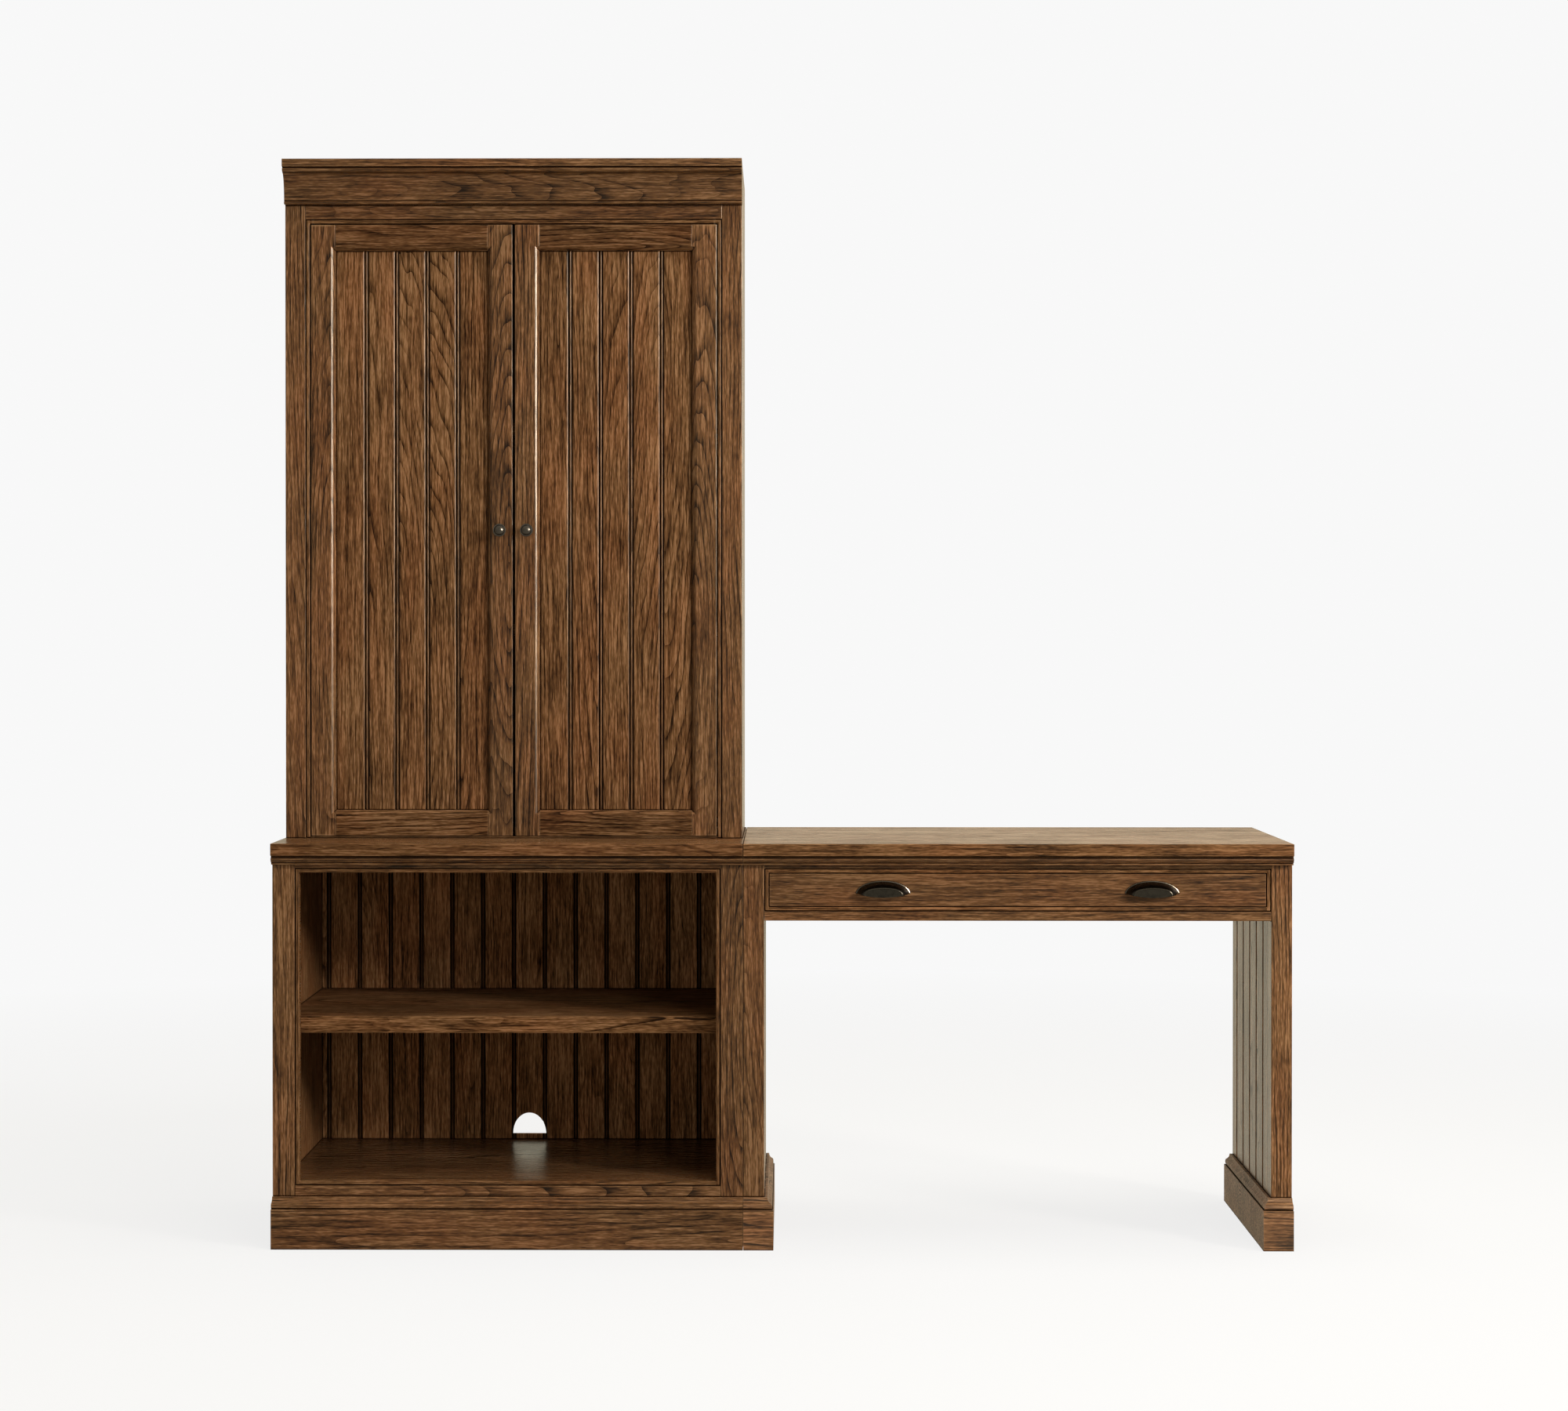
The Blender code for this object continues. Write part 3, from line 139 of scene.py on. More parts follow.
# Shade of the grain: its middle, and what each noise, the ring lines and the board's own tint add
SHADE_MIDDLE = 0.70
SHADE_SHARES = {"fibre": 1.90, "streak": 0.42, "cloud": 0.60, "fine": 1.00}
LINE_SHADE = -0.64
BOARD_TINT = 0.05
PORE_RANGE = (0.53, 0.63, 0.0, 1.0)
PORES_ON_LINES = 0.70
PORES_BETWEEN = 0.30
PATCH_RANGE = (0.42, 0.66, 0.0, 1.0)
FIBRE_HEIGHT = 0.5
PORE_HEIGHT = -0.8
LINE_HEIGHT = -0.25

# Finish of the wood: glaze with painted shade in hollows and seams, wear with painted highlight on arrises,
# roughness from light to dark grain, relief
WOOD_GLOSS = (0.22, 0.34)
WOOD_SHINE = 0.12
HOLLOW_REACH = 0.007
HOLLOW_RANGE = (0.68, 0.42, 0.0, 0.97)
SEAM_REACH = 0.003
SEAM_RANGE = (0.97, 0.76, 0.0, 0.95)
HOLLOW_SAMPLES = 8
ARRIS_REACH = 0.0025
ARRIS_SAMPLES = 6
EDGE_MARK_RANGE = (0.35, 0.65, 0.15, 0.75)
GLOSS_SHADES = (0.1, 0.9)
WOOD_RELIEF = (0.22, 0.0006)
# Painted shade in the joints between planks: full and gone at these distances from the joint
JOINT_SHADE = (0.0038, 0.0056)

# Bronze of the pulls and knobs: dark, light, and edge colour for wear and painted highlight, metallic, roughness
PULL_LOOK = ((0.016, 0.0147, 0.0133), (0.033, 0.030, 0.0267), (0.15, 0.134, 0.114), 1.0, (0.20, 0.30))
KNOB_LOOK = ((0.038, 0.034, 0.030), (0.068, 0.061, 0.053), (0.20, 0.183, 0.161), 0.6, (0.20, 0.28))
METAL_SPREAD = (0.30, 0.70)
BRONZE_ARRIS = 0.0016
BRONZE_RUB_AND_HIGHLIGHT = 0.8
BRONZE_SHINE = 0.12
BRONZE_RELIEF = (0.05, 0.0003)
# Blackened steel of the door pivots
STEEL_DARK = (0.008, 0.0074, 0.0068)
STEEL_LIGHT = (0.020, 0.0186, 0.017)
STEEL_GLOSS = (0.60, 0.75)
STEEL_RELIEF = (0.1, 0.0002)


def add(tree, kind, inputs=None, **settings):
    """One shader node: settings are its own fields, inputs are values or the sockets that feed it."""
    made = tree.nodes.new(kind)
    for key, value in settings.items():
        setattr(made, key, value)
    for key, value in (inputs or {}).items():
        if isinstance(value, bpy.types.NodeSocket):
            tree.links.new(value, made.inputs[key])
        else:
            made.inputs[key].default_value = value
    return made


def calc(tree, operation, first, second=0.0, third=0.0, clamp=False):
    return add(tree, "ShaderNodeMath", {0: first, 1: second, 2: third}, operation=operation,
               use_clamp=clamp).outputs[0]


def vector_calc(tree, operation, first, second):
    return add(tree, "ShaderNodeVectorMath", {0: first, 1: second}, operation=operation).outputs[0]


def split(tree, vector):
    return add(tree, "ShaderNodeSeparateXYZ", {0: vector}).outputs


def remap(tree, value, low, high, to_low, to_high):
    inputs = {"Value": value, "From Min": low, "From Max": high, "To Min": to_low, "To Max": to_high}
    return add(tree, "ShaderNodeMapRange", inputs).outputs[0]


def blend(tree, factor, first, second, mode="MIX"):
    inputs = {0: factor, 6: first, 7: second}
    return add(tree, "ShaderNodeMix", inputs, data_type="RGBA", blend_type=mode).outputs[2]


def noise(tree, vector, kind):
    """The outputs of one of NOISES at a vector in metres."""
    scale, detail, roughness = NOISES[kind]
    inputs = {"Vector": vector_calc(tree, "MULTIPLY", vector, scale), "Scale": 1.0, "Detail": detail,
              "Roughness": roughness}
    return add(tree, "ShaderNodeTexNoise", inputs).outputs


def rgba(colour):
    return (*colour, 1.0)


def ramp(tree, value, stops):
    made = add(tree, "ShaderNodeValToRGB", {0: value})
    for place, _ in stops[2:]:
        made.color_ramp.elements.new(place)
    for element, (place, colour) in zip(made.color_ramp.elements, stops):
        element.position = place
        element.color = rgba(colour)
    return made.outputs[0]


GRAIN_SOCKETS = (("Vector", "INPUT", "NodeSocketVector"),
                 ("Seed", "INPUT", "NodeSocketFloat"),
                 ("Figure", "INPUT", "NodeSocketFloat"),
                 ("Color", "OUTPUT", "NodeSocketColor"),
                 ("Height", "OUTPUT", "NodeSocketFloat"),
                 ("Gloss", "OUTPUT", "NodeSocketFloat"))


def ring_lines(tree, vector, spot, pick, figure):
    """The dark lines of the growth rings round a leaning heart that lies behind the face."""
    sway = vector_calc(tree, "SUBTRACT", noise(tree, spot, "sway")["Color"], (NOISE_MIDDLE,) * 3)
    part = split(tree, vector_calc(tree, "ADD", vector, vector_calc(tree, "MULTIPLY", sway, SWAY_REACH)))
    lean = remap(tree, pick[2], 0.0, 1.0, -HEART_LEAN, HEART_LEAN)
    across = calc(tree, "ADD", part[0], remap(tree, pick[0], 0.0, 1.0, -HEART_ASIDE, HEART_ASIDE))
    behind = calc(tree, "ADD", part[1], remap(tree, pick[1], 0.0, 1.0, *HEART_BEHIND))
    behind = calc(tree, "ADD", behind, calc(tree, "MULTIPLY", part[2], lean))
    radius = calc(tree, "SQRT", calc(tree, "ADD", calc(tree, "MULTIPLY", across, across),
                                     calc(tree, "MULTIPLY", behind, behind)))
    inputs = {"W": calc(tree, "MULTIPLY", radius, UNEVEN_SCALE), "Scale": 1.0}
    uneven = add(tree, "ShaderNodeTexNoise", inputs, noise_dimensions="1D").outputs[0]
    radius = calc(tree, "ADD", radius, calc(tree, "MULTIPLY", uneven, UNEVEN_REACH))
    ring = calc(tree, "FRACT", calc(tree, "MULTIPLY", radius, RINGS))
    line = calc(tree, "POWER", remap(tree, ring, 0.0, RING_DARK, 1.0, 0.0), RING_POWER)
    plain = noise(tree, spot, "plain")[0]
    line = calc(tree, "MULTIPLY", line, remap(tree, plain, *PLAIN_RANGE))
    return calc(tree, "MULTIPLY", line, figure)


def grain_group(name, stops, pore_depth):
    """Wood with its growth rings, fibres and pores, for a vector in metres whose Z runs along the grain."""
    tree = bpy.data.node_groups.new(name, "ShaderNodeTree")
    for socket, way, kind in GRAIN_SOCKETS:
        tree.interface.new_socket(socket, in_out=way, socket_type=kind)
    given = tree.nodes.new("NodeGroupInput").outputs
    chance = add(tree, "ShaderNodeTexWhiteNoise", {"W": given["Seed"]}, noise_dimensions="1D").outputs["Color"]
    pick = add(tree, "ShaderNodeSeparateColor", {0: chance}).outputs
    far = add(tree, "ShaderNodeVectorMath", {0: chance, "Scale": SEED_REACH}, operation="SCALE").outputs[0]
    spot = vector_calc(tree, "ADD", given["Vector"], far)
    line = ring_lines(tree, given["Vector"], spot, pick, given["Figure"])

    # Pores, which gather on the ring lines
    pores = remap(tree, noise(tree, spot, "dash")[0], *PORE_RANGE)
    pores = calc(tree, "MULTIPLY", pores, calc(tree, "MULTIPLY_ADD", line, PORES_ON_LINES, PORES_BETWEEN))

    # Fibres, streaks and cloudy stain, then the lines and pores
    levels = {kind: noise(tree, spot, kind)[0] for kind in SHADE_SHARES}
    shade = SHADE_MIDDLE
    for kind, share in SHADE_SHARES.items():
        shade = calc(tree, "MULTIPLY_ADD", calc(tree, "SUBTRACT", levels[kind], NOISE_MIDDLE), share, shade)
    shade = calc(tree, "MULTIPLY_ADD", line, LINE_SHADE, shade)
    shade = calc(tree, "MULTIPLY_ADD", pores, -pore_depth, shade, clamp=True)

    # Tone from board to board, and redder patches
    tint = remap(tree, pick[1], 0.0, 1.0, -BOARD_TINT, BOARD_TINT)
    colour = ramp(tree, calc(tree, "ADD", shade, tint, clamp=True), stops)
    patch = remap(tree, noise(tree, spot, "patch")[0], *PATCH_RANGE)
    colour = blend(tree, patch, colour, blend(tree, 1.0, colour, rgba(REDDER), "MULTIPLY"))

    height = calc(tree, "MULTIPLY_ADD", pores, PORE_HEIGHT, calc(tree, "MULTIPLY", levels["fibre"], FIBRE_HEIGHT))
    height = calc(tree, "MULTIPLY_ADD", line, LINE_HEIGHT, height)
    add(tree, "NodeGroupOutput", {"Color": colour, "Height": height, "Gloss": shade})
    return tree


STAINED = grain_group("stained_oak_grain", OAK_STOPS, OAK_PORES)
PALE = grain_group("pale_wood_grain", PALE_STOPS, PALE_PORES)

# Turns that bring the grain onto Z: the name is the grain's axis, then the axis across the boards
TURNS = {"zx": (0.0, 0.0, 0.0),
         "zy": (0.0, 0.0, -math.pi / 2),
         "xz": (0.0, -math.pi / 2, 0.0),
         "xy": (-math.pi / 2, -math.pi / 2, 0.0),
         "yx": (math.pi / 2, 0.0, 0.0),
         "yz": (0.0, -math.pi / 2, -math.pi / 2)}


def turned(tree, vector, turn, middle):
    """The vector from a board's middle, turned so that its grain runs along Z."""
    angles = TURNS[turn]
    spin = Matrix.Identity(3)
    for axis, angle in zip("XYZ", angles):
        spin = Matrix.Rotation(angle, 3, axis) @ spin
    inputs = {"Vector": vector, "Location": -(spin @ Vector(middle)), "Rotation": angles}
    return add(tree, "ShaderNodeMapping", inputs).outputs[0]


def fresh(name):
    """A new material, its node tree, its shader and the place on the object in metres."""
    made = bpy.data.materials.new(name)
    made.use_nodes = True
    tree = made.node_tree
    return made, tree, tree.nodes["Principled BSDF"], add(tree, "ShaderNodeTexCoord").outputs["Object"]


def openness(tree, reach):
    """1 in the open, less where other faces lie within reach."""
    return add(tree, "ShaderNodeAmbientOcclusion", {"Distance": reach}, samples=HOLLOW_SAMPLES).outputs["AO"]


def arrises(tree, reach):
    """0 on flat faces, more on outer edges."""
    inside = add(tree, "ShaderNodeAmbientOcclusion", {"Distance": reach}, samples=ARRIS_SAMPLES, inside=True,
                 only_local=True).outputs["AO"]
    return calc(tree, "SUBTRACT", 1.0, inside)


def set_surface(tree, shader, colour, roughness, height, relief):
    """Colour, roughness and fine relief of a shader. relief is the strength and depth of its bump."""
    strength, depth = relief
    tree.links.new(colour, shader.inputs["Base Color"])
    tree.links.new(roughness, shader.inputs["Roughness"])
    bump = add(tree, "ShaderNodeBump", {"Height": height, "Strength": strength, "Distance": depth})
    tree.links.new(bump.outputs[0], shader.inputs["Normal"])


def wood(name, grain, turn, middle, seed, tone=1.0, planks=None, second=None, glaze_and_shade=OAK_GLAZE_AND_SHADE, worn_and_highlight=OAK_WORN_AND_HIGHLIGHT,
         gloss=WOOD_GLOSS, shine=WOOD_SHINE, figure=1.0, joint_shade=0.0):
    """One board's wood. planks is a pitch across the grain, and soak the share of painted shade in the joints
    between planks.
    second is another turn, and the axis and the stretch of it where that turn holds."""
    made, tree, shader, place = fresh(name)
    vector = turned(tree, place, turn, middle)
    if planks:
        part = split(tree, vector)
        index = calc(tree, "FLOOR", calc(tree, "DIVIDE", part[0], planks))
        inside = calc(tree, "SUBTRACT", part[0], calc(tree, "MULTIPLY", calc(tree, "ADD", index, 0.5), planks))
        vector = add(tree, "ShaderNodeCombineXYZ", {0: inside, 1: part[1], 2: part[2]}).outputs[0]
        seed = calc(tree, "ADD", index, seed)
    if second:
        other, axis, low, high = second
        along = split(tree, place)[axis]
        within = calc(tree, "MULTIPLY", calc(tree, "GREATER_THAN", along, low),
                      calc(tree, "LESS_THAN", along, high))
        inputs = {0: within, 4: vector, 5: turned(tree, place, other, middle)}
        vector = add(tree, "ShaderNodeMix", inputs, data_type="VECTOR").outputs[1]
    inputs = {"Vector": vector, "Seed": seed, "Figure": figure}
    board = add(tree, "ShaderNodeGroup", inputs, node_tree=grain).outputs
    colour = blend(tree, 1.0, board["Color"], (tone, tone, tone, 1.0), "MULTIPLY")
    # Painted shade in the joints between planks
    if joint_shade:
        edge = calc(tree, "SUBTRACT", planks / 2, calc(tree, "ABSOLUTE", inside))
        colour = blend(tree, remap(tree, edge, *JOINT_SHADE, joint_shade, 0.0), colour, rgba(glaze_and_shade))

    # Painted shade: the colour goes to the dark glaze in corners and seams, where other faces lie near. Metallic
    # takes the gloss from the narrow seams, so that they stay dark
    seam = remap(tree, openness(tree, SEAM_REACH), *SEAM_RANGE)
    tree.links.new(seam, shader.inputs["Metallic"])
    hollow = remap(tree, openness(tree, HOLLOW_REACH), *HOLLOW_RANGE)
    hollow = calc(tree, "MAXIMUM", hollow, seam)
    colour = blend(tree, hollow, colour, rgba(glaze_and_shade))

    # Wear and painted highlight on the arrises, broken up by a noise
    arris = calc(tree, "MULTIPLY", arrises(tree, ARRIS_REACH), calc(tree, "SUBTRACT", 1.0, hollow))
    edge_mark = remap(tree, noise(tree, place, "edge_mark")[0], *EDGE_MARK_RANGE)
    colour = blend(tree, calc(tree, "MULTIPLY", arris, edge_mark, clamp=True), colour, rgba(worn_and_highlight))

    roughness = calc(tree, "MAXIMUM", remap(tree, board["Gloss"], *GLOSS_SHADES, gloss[1], gloss[0]), hollow)
    set_surface(tree, shader, colour, roughness, board["Height"], WOOD_RELIEF)
    shader.inputs["Specular IOR Level"].default_value = shine
    return made


def bronze(name, dark, light, rubbed_and_highlight, metal, gloss):
    """Oil-rubbed bronze: dark, paler on its edges with wear and painted highlight, with a soft gloss."""
    made, tree, shader, place = fresh(name)
    patina = noise(tree, place, "patina")[0]
    colour = ramp(tree, patina, tuple(zip(METAL_SPREAD, (dark, light))))
    # Paler edges: wear and painted highlight
    arris = calc(tree, "MULTIPLY", arrises(tree, BRONZE_ARRIS), BRONZE_RUB_AND_HIGHLIGHT, clamp=True)
    colour = blend(tree, arris, colour, rgba(rubbed_and_highlight))
    roughness = remap(tree, patina, *METAL_SPREAD, gloss[1], gloss[0])
    set_surface(tree, shader, colour, roughness, noise(tree, place, "grit")[0], BRONZE_RELIEF)
    shader.inputs["Metallic"].default_value = metal
    shader.inputs["Specular IOR Level"].default_value = BRONZE_SHINE
    return made


def steel(name):
    """Blackened steel with fine lines along X."""
    made, tree, shader, place = fresh(name)
    lines = noise(tree, place, "drawn")[0]
    colour = ramp(tree, lines, tuple(zip(METAL_SPREAD, (STEEL_DARK, STEEL_LIGHT))))
    roughness = remap(tree, lines, *METAL_SPREAD, STEEL_GLOSS[1], STEEL_GLOSS[0])
    set_surface(tree, shader, colour, roughness, lines, STEEL_RELIEF)
    shader.inputs["Metallic"].default_value = 1.0
    return made


# Grain of each board: its turn, and its tone, a factor on its colour, above 1 for lighter
GRAINS = {
    "base_left_side": ("zy", 1.10), "base_right_side": ("zy", 0.95),
    "base_bottom_shelf": ("xy", 0.78), "base_shelf": ("xy", 1.08), "base_top_board": ("xy", 0.88),
    "base_left_stile": ("zx", 1.02), "base_right_stile": ("zx", 0.92),
    "base_top_rail": ("xz", 0.90), "base_bottom_rail": ("xz", 0.96),
    "base_plinth": ("xz", 0.96), "base_top_moulding": ("xz", 0.78),
    "hutch_left_side": ("zy", 0.95), "hutch_right_side": ("zy", 0.95),
    "hutch_top_board": ("xy", 0.85), "hutch_bottom_board": ("xy", 0.90), "hutch_back_panel": ("zx", 1.0),
    "hutch_left_stile": ("zx", 0.98), "hutch_right_stile": ("zx", 1.04),
    "hutch_top_rail": ("xz", 0.82), "hutch_cornice": ("xz", 0.86),
    "hutch_lower_shelf": ("xy", 0.95), "hutch_upper_shelf": ("xy", 0.95),
    "left_door_hinge_stile": ("zx", 0.98), "left_door_meeting_stile": ("zx", 0.94),
    "left_door_top_rail": ("xz", 0.71), "left_door_bottom_rail": ("xz", 0.89),
    "right_door_hinge_stile": ("zx", 0.96), "right_door_meeting_stile": ("zx", 1.00),
    "right_door_top_rail": ("xz", 0.73), "right_door_bottom_rail": ("xz", 0.87),
    "desk_top": ("xy", 1.12), "desk_top_moulding": ("xz", 0.82),
    # The right front post is lighter than the left: painted light, for the stronger light at the right end
    "desk_left_front_post": ("zx", 0.94), "desk_right_front_post": ("zx", 1.14),
    "desk_lower_rail": ("xz", 1.04), "desk_back_apron": ("xz", 0.92),
    "drawer_front": ("xz", 0.90),
}
# Boards whose figure or gloss differs from the rest
RAIL_LOOK = {"shine": 0.04}
INSIDE_LOOK = {"gloss": (0.5, 0.65), "shine": 0.016}
SPECIAL = {
    "drawer_front": {"figure": 0.35},
    "desk_top": {"gloss": (0.20, 0.46), "shine": 0.05, "figure": 0.6},
    "desk_top_moulding": {"figure": 0.5},
    "desk_right_front_post": {"figure": 1.5},
    "base_top_board": {"shine": 0.04, "figure": 0.6},
    "base_shelf": INSIDE_LOOK, "base_left_side": INSIDE_LOOK,
    "left_door_top_rail": RAIL_LOOK, "left_door_bottom_rail": RAIL_LOOK,
    "right_door_top_rail": RAIL_LOOK, "right_door_bottom_rail": RAIL_LOOK,
}
PANEL_LOOK = {"tone": 1.04, "worn_and_highlight": PANEL_WORN_AND_HIGHLIGHT, "shine": 0.045, "joint_shade": 0.3}
LEG_LOOK = {"tone": 1.1, "shine": 0.08}
FOOT_LOOK = {"tone": 1.22, "gloss": (0.45, 0.60), "shine": 0.17, "figure": 1.5}
# The back panel's high tone is painted light: it lightens the back inside the base, which lies in shade
BACK_LOOK = {"tone": 1.55, "figure": 0.45, "joint_shade": 0.85, **INSIDE_LOOK}
PALE_LOOK = {"glaze_and_shade": PALE_GLAZE_AND_SHADE, "worn_and_highlight": PALE_WORN_AND_HIGHLIGHT, "gloss": (0.50, 0.66)}

# Planks: how many a door has, the pitch of the others, and the leg's first joint from the front of its post
DOOR_PLANKS = 5
BACK_PITCH = 0.063
LEG_PITCH = 0.086
LEG_FIRST = 0.104
FAR_FRONT = -1.0

# Beads with their tones, the drawer's bead lighter as painted light on its rounded front, and boards of the
# drawer's box with their turns
BEADS = {"base_opening_bead": 0.85, "hutch_opening_bead": 1.00, "drawer_opening_bead": 1.10}
BEAD_WIDTH = 0.0085
BEAD_SHINE = 0.055
DRAWER_BOX = {"drawer_left_side": "yz", "drawer_right_side": "yz", "drawer_back": "xz", "drawer_bottom": "xy"}
RUNNER_WIDTH = 0.06
RUNNER_TONE = 0.9

# Seeds of the boards' grain
SEED_STEP = 17
DRAWER_SEED = 500
RUNNER_SEED = 590
BEAD_SEED = 700
BACK_SEED = 900

# Knob, from the door out: radius and distance from the door
KNOB_PROFILE = ((0.0, 0.0), (0.0085, 0.0), (0.0085, 0.0012), (0.0078, 0.0020), (0.0062, 0.0028), (0.0055, 0.0040),
                (0.0052, 0.0080), (0.0056, 0.0110), (0.0070, 0.0134), (0.0095, 0.0152), (0.0116, 0.0166),
                (0.0123, 0.0178), (0.0125, 0.0190), (0.0122, 0.0202), (0.0114, 0.0209), (0.0106, 0.0208),
                (0.0101, 0.0203), (0.0096, 0.0210), (0.0088, 0.0224), (0.0073, 0.0239), (0.0052, 0.0250),
                (0.0027, 0.0258), (0.0, 0.0260))
KNOB_SIDES = 56

# Cup pull, from the drawer out: share of the half width, share of the height, distance from the drawer
PULL_ROWS = ((1.0, 1.0, 0.0), (1.0, 1.0, 0.0010), (0.984, 0.977, 0.0013), (0.964, 0.948, 0.0017),
             (0.952, 0.928, 0.0032), (0.936, 0.900, 0.0055), (0.908, 0.860, 0.0084), (0.872, 0.812, 0.0116),
             (0.832, 0.758, 0.0148), (0.790, 0.702, 0.0176), (0.752, 0.652, 0.0197), (0.722, 0.613, 0.0209),
             (0.705, 0.592, 0.0216), (0.692, 0.577, 0.0219), (0.678, 0.561, 0.0219), (0.665, 0.546, 0.0214),
             (0.650, 0.528, 0.0207), (0.500, 0.405, 0.0207), (0.300, 0.240, 0.0209), (0.0, 0.0, 0.0210))
PULL_STEPS = 48
PULL_WALL = 0.0018
# Its lower edge above the CAD pull's, how far its tips rise, the power of its arch at the flange and the face, and
# the share of the half width at which the face begins
PULL_LIFT = 0.004
PULL_TIP = 0.007
PULL_ARCH = (1.3, 0.75)
PULL_FACE = 0.65

# Edges of knobs and pulls that stay sharp, and points that become one
SHARP = math.radians(32.0)
SAME_POINT = 1e-6


def middle_of(node):
    low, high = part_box(node)
    return (low + high) / 2


def dress(node, material):
    for place in NODES[node].material_slots:
        place.material = material


def dress_boards():
    """Each board gets its own wood, so that no grain runs on from one board into the next."""
    seeds = itertools.count(SEED_STEP, SEED_STEP)
    for node, (turn, tone) in GRAINS.items():
        dress(node, wood(node + "_oak", STAINED, turn, middle_of(node), next(seeds), tone, **SPECIAL.get(node, {})))

    for side in SIDES:
        panel = side + "_door_panel"
        stiles = [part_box(side + "_door_hinge_stile"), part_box(side + "_door_meeting_stile")]
        start = min(high.x for low, high in stiles)
        end = max(low.x for low, high in stiles)
        middle = middle_of(panel)
        dress(panel, wood(panel + "_oak", STAINED, "zx", (start, middle.y, middle.z), next(seeds),
                          planks=(end - start) / DOOR_PLANKS, **PANEL_LOOK))
        leg = "desk_" + side + "_leg_panel"
        middle = middle_of(leg)
        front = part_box("desk_" + side + "_front_post")[0].y
        dress(leg, wood(leg + "_oak", STAINED, "zy", (middle.x, front + LEG_FIRST, middle.z), next(seeds),
                        planks=LEG_PITCH, **LEG_LOOK))
        foot = "desk_" + side + "_plinth"
        dress(foot, wood(foot + "_oak", STAINED, "yz", middle_of(foot), next(seeds),
                         second=("xz", Y, FAR_FRONT, front), **FOOT_LOOK))

    back = "base_back_panel"
    middle = middle_of(back)
    dress(back, wood(back + "_oak", STAINED, "zx", (middle.x - BACK_PITCH / 2, middle.y, middle.z), BACK_SEED,
                     planks=BACK_PITCH, **BACK_LOOK))
    for index, (bead, tone) in enumerate(BEADS.items()):
        low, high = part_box(bead)
        dress(bead, wood(bead + "_oak", STAINED, "zx", middle_of(bead), BEAD_SEED + SEED_STEP * index, tone,
                         second=("xz", X, low.x + BEAD_WIDTH, high.x - BEAD_WIDTH), shine=BEAD_SHINE))


def dress_drawer_box():
    """The drawer's box and the frame it runs on are of unstained wood."""
    for index, (node, turn) in enumerate(DRAWER_BOX.items()):
        dress(node, wood(node + "_wood", PALE, turn, middle_of(node), DRAWER_SEED + SEED_STEP * index, **PALE_LOOK))
    runners = "drawer_runner_frame"
    low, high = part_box(runners)
    dress(runners, wood("drawer_runner_wood", PALE, "yx", middle_of(runners), RUNNER_SEED, RUNNER_TONE,
                        second=("xy", X, low.x + RUNNER_WIDTH, high.x - RUNNER_WIDTH), **PALE_LOOK))


def dress_pivots():
    plain = steel("drawn_steel")
    for side in SIDES:
        for place in ("upper", "lower"):
            dress(side + "_door_" + place + "_pivot", plain)


def shell(name, rows, material):
    """A smooth skin through rows of points, each row as long as the next."""
    mesh = bpy.data.meshes.new(name)
    count = len(rows[0])
    faces = [(row * count + step, row * count + step + 1, (row + 1) * count + step + 1, (row + 1) * count + step)
             for row in range(len(rows) - 1) for step in range(count - 1)]
    mesh.from_pydata([point for row in rows for point in row], [], faces)
    shape = bmesh.new()
    shape.from_mesh(mesh)
    bmesh.ops.remove_doubles(shape, verts=shape.verts, dist=SAME_POINT)
    bmesh.ops.recalc_face_normals(shape, faces=shape.faces)
    for face in shape.faces:
        face.smooth = True
    shape.to_mesh(mesh)
    shape.free()
    mesh.set_sharp_from_angle(angle=SHARP)
    mesh.materials.append(material)
    thing = bpy.data.objects.new(name, mesh)
    bpy.context.scene.collection.objects.link(thing)
    return thing


def make_knob(side, material):
    """A turned knob with a rose, a waist, a rolled rim and a dome inside a fine groove."""
    node = side + "_door_knob"
    low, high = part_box(node)
    middle = (low + high) / 2
    rows = []
    for radius, out in KNOB_PROFILE:
        ring = []
        for step in range(KNOB_SIDES + 1):
            angle = 2 * math.pi * step / KNOB_SIDES
            ring.append((middle.x + radius * math.cos(angle), high.y - out, middle.z + radius * math.sin(angle)))
        rows.append(ring)
    knob = shell(side + "_turned_knob", rows, material)
    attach(knob, side + "_door")
    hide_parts(node)


def make_pull(side, material):
    """A cast cup pull: an arched flange with raised tips, a swelling cup and a lip round its face, open below."""
    node = side + "_cup_pull"
    low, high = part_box(node)
    middle = (low.x + high.x) / 2
    half = (high.x - low.x) / 2
    foot = low.z + PULL_LIFT
    height = high.z - foot
    at_flange, at_face = PULL_ARCH
    rows = []
    for wide, tall, out in PULL_ROWS:
        share = max(0.0, (wide - PULL_FACE) / (1.0 - PULL_FACE))
        power = at_face + (at_flange - at_face) * share
        row = []
        for step in range(PULL_STEPS + 1):
            angle = math.pi * step / PULL_STEPS
            aside = wide * math.cos(angle)
            arch = tall * abs(math.sin(angle)) ** power
            row.append((middle + half * aside, high.y - out, foot + PULL_TIP * aside ** 2 + height * arch))
        rows.append(row)
    pull = shell(side + "_cast_cup_pull", rows, material)
    wall = pull.modifiers.new("wall", "SOLIDIFY")
    wall.thickness = PULL_WALL
    wall.offset = -1.0
    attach(pull, "drawer")
    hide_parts(node)


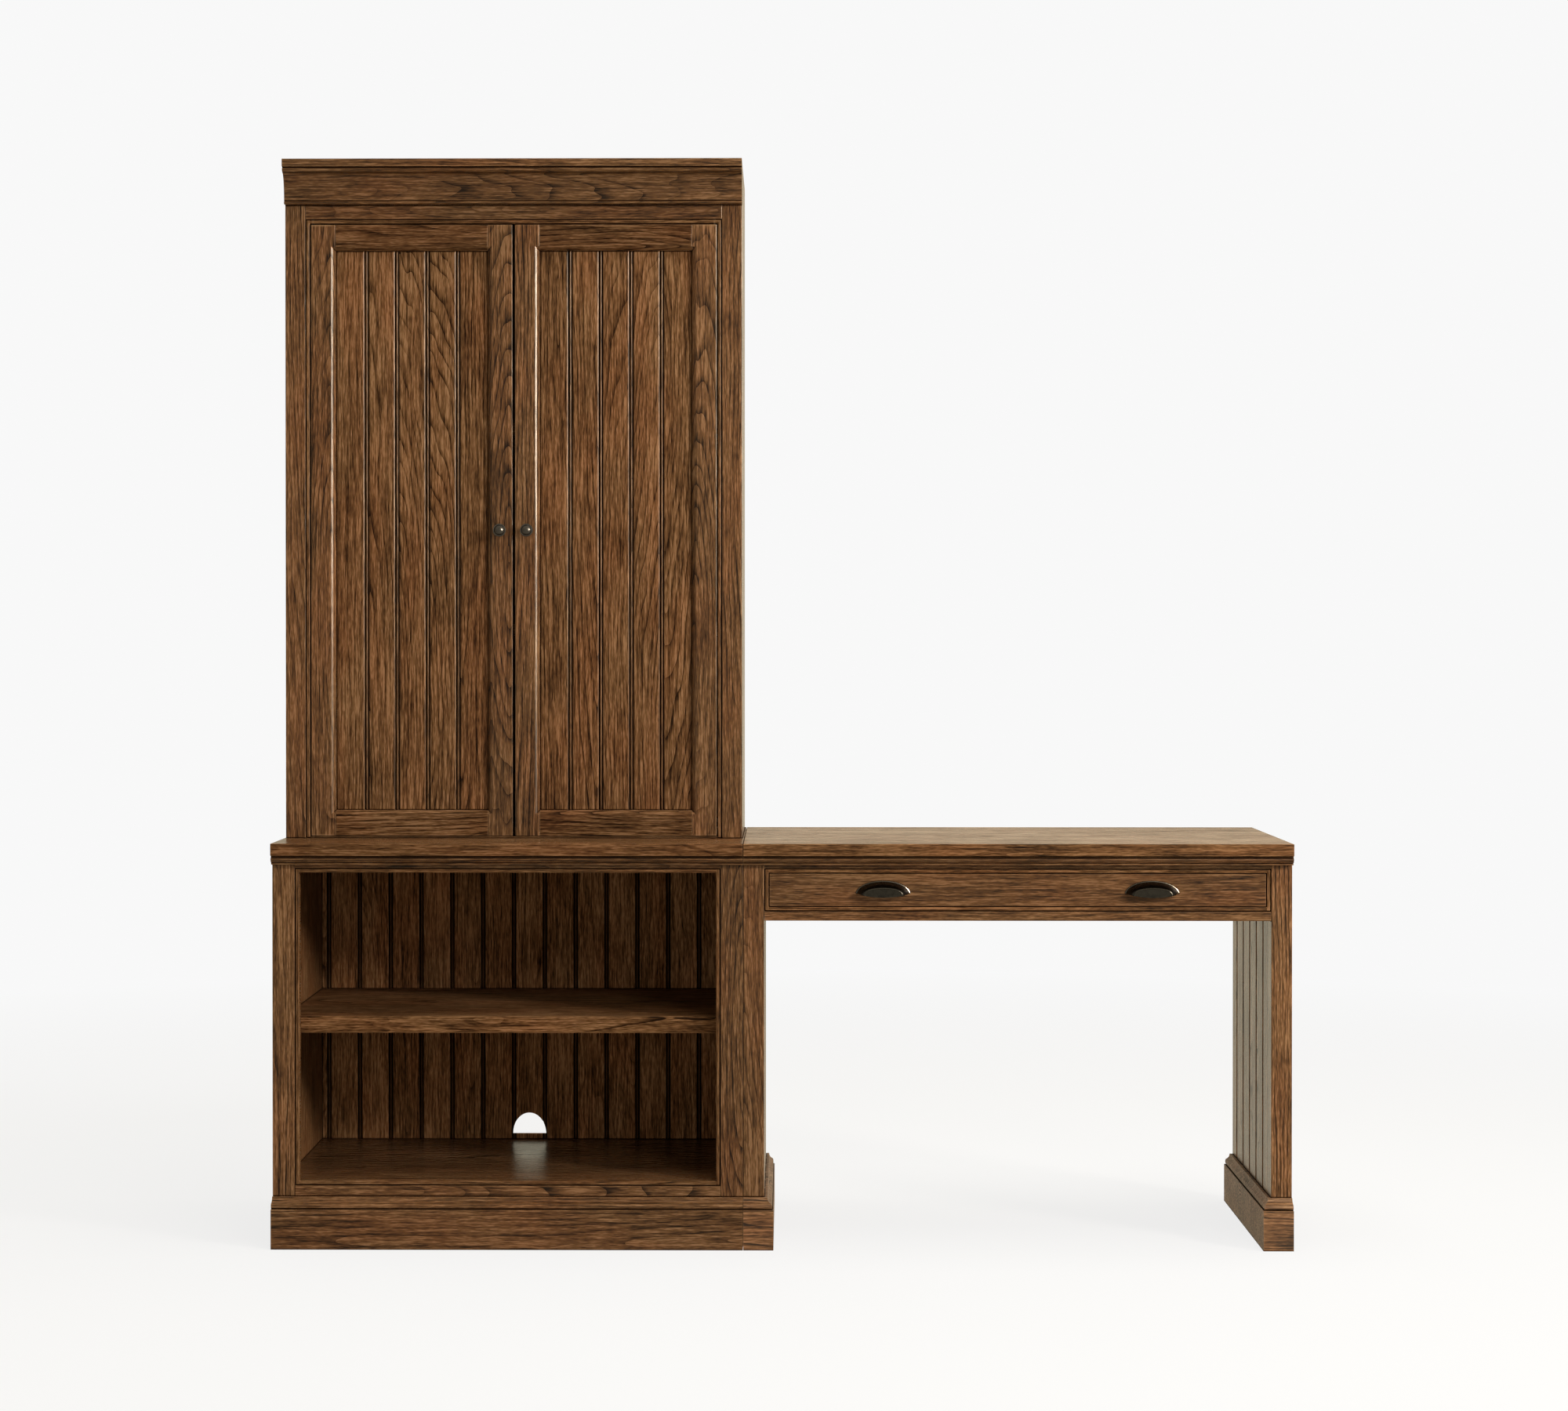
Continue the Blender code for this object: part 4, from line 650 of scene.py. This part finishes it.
def make_camera():
    data = bpy.data.cameras.new("camera")
    data.lens = LENS
    data.sensor_width = SENSOR
    data.shift_x, data.shift_y = SHIFT
    camera = bpy.data.objects.new("camera", data)
    camera.location = CAMERA_PLACE
    camera.rotation_euler = (math.radians(90.0 + CAMERA_PITCH), 0.0, math.radians(CAMERA_YAW))
    bpy.context.scene.collection.objects.link(camera)
    bpy.context.scene.camera = camera


def make_lamp(name, place, at, size, power, colour):
    data = bpy.data.lights.new(name, "AREA")
    data.shape = "RECTANGLE"
    data.size, data.size_y = size
    data.energy = power
    data.color = colour
    lamp = bpy.data.objects.new(name, data)
    lamp.location = place
    lamp.rotation_euler = (Vector(at) - lamp.location).to_track_quat("-Z", "Y").to_euler()
    lamp.visible_diffuse = name not in GLOSS_ONLY
    lamp.visible_glossy = name not in NO_GLOSS
    bpy.context.scene.collection.objects.link(lamp)


def seen(tree):
    """1 for the rays that show the background itself: camera, glossy and transmission rays."""
    path = add(tree, "ShaderNodeLightPath").outputs
    return calc(tree, "MAXIMUM", path["Is Camera Ray"],
                calc(tree, "MAXIMUM", path["Is Glossy Ray"], path["Is Transmission Ray"]))


def studio_colour(tree):
    """White to the camera, and warm to all other rays."""
    straight = add(tree, "ShaderNodeLightPath").outputs["Is Camera Ray"]
    return blend(tree, straight, rgba(GLOW_TINT), rgba(WHITE))


def make_world():
    """A pale studio, warm in reflections; its light is brighter behind the object than on the camera's side."""
    world = bpy.data.worlds.new("studio")
    bpy.context.scene.world = world
    world.use_nodes = True
    tree = world.node_tree
    way = add(tree, "ShaderNodeTexCoord").outputs["Generated"]
    glow = remap(tree, split(tree, way)[Y], *GLOW_TURN, FRONT_GLOW, BACK_GLOW)
    level = add(tree, "ShaderNodeMix", {0: seen(tree), 2: glow, 3: BACKGROUND}).outputs[0]
    sky = tree.nodes["Background"]
    tree.links.new(studio_colour(tree), sky.inputs["Color"])
    tree.links.new(level, sky.inputs["Strength"])


def diffuse(tree, colour):
    return add(tree, "ShaderNodeBsdfDiffuse", {"Color": rgba(colour)}).outputs[0]


def emission(tree, colour, strength):
    return add(tree, "ShaderNodeEmission", {"Color": colour, "Strength": strength}).outputs[0]


def mix_shaders(tree, factor, first, second):
    return add(tree, "ShaderNodeMixShader", {0: factor, 1: first, 2: second}).outputs[0]


def floor_paper():
    """Pale paper that keeps a soft shadow near the object and runs out into the background."""
    made = bpy.data.materials.new("floor_paper")
    made.use_nodes = True
    tree = made.node_tree
    tree.nodes.remove(tree.nodes["Principled BSDF"])
    place = add(tree, "ShaderNodeTexCoord").outputs["Object"]
    part = split(tree, place)

    # What shows
    away = add(tree, "ShaderNodeVectorMath", {0: place, 1: FLOOR_MIDDLE}, operation="DISTANCE").outputs["Value"]
    fade = remap(tree, away, *FLOOR_FADE, 0.0, 1.0)
    glow = emission(tree, studio_colour(tree), FLOOR_GLOW)
    near = add(tree, "ShaderNodeAddShader", {0: diffuse(tree, FLOOR_CATCH), 1: glow}).outputs[0]
    shown = mix_shaders(tree, fade, near, emission(tree, studio_colour(tree), BACKGROUND))

    # What it bounces back onto the object
    front = diffuse(tree, FLOOR_BOUNCE)
    lit = remap(tree, part[Y], *FLOOR_LIT, 0.0, 1.0)
    bounce = mix_shaders(tree, lit, front, emission(tree, rgba(GLOW_TINT), BACK_GLOW))

    whole = mix_shaders(tree, seen(tree), bounce, shown)
    under = calc(tree, "MULTIPLY", calc(tree, "COMPARE", part[X], *UNDER_BASE[X]),
                 calc(tree, "COMPARE", part[Y], *UNDER_BASE[Y]))
    whole = mix_shaders(tree, under, whole, front)
    tree.links.new(whole, tree.nodes["Material Output"].inputs["Surface"])
    return made


def make_floor():
    mesh = bpy.data.meshes.new("floor")
    shape = bmesh.new()
    bmesh.ops.create_grid(shape, x_segments=1, y_segments=1, size=FLOOR_SIZE / 2)
    shape.to_mesh(mesh)
    shape.free()
    floor = bpy.data.objects.new("floor", mesh)
    floor.location.z = -FLOOR_DROP
    bpy.context.scene.collection.objects.link(floor)
    mesh.materials.append(floor_paper())


bpy.context.scene.view_settings.view_transform = "Standard"
make_camera()
make_world()
make_floor()
for lamp, setup in LAMPS.items():
    make_lamp(lamp, *setup)
dress_boards()
dress_drawer_box()
dress_pivots()
pull_bronze = bronze("dark_bronze", *PULL_LOOK)
knob_bronze = bronze("grey_bronze", *KNOB_LOOK)
for side in SIDES:
    make_knob(side, knob_bronze)
    make_pull(side, pull_bronze)
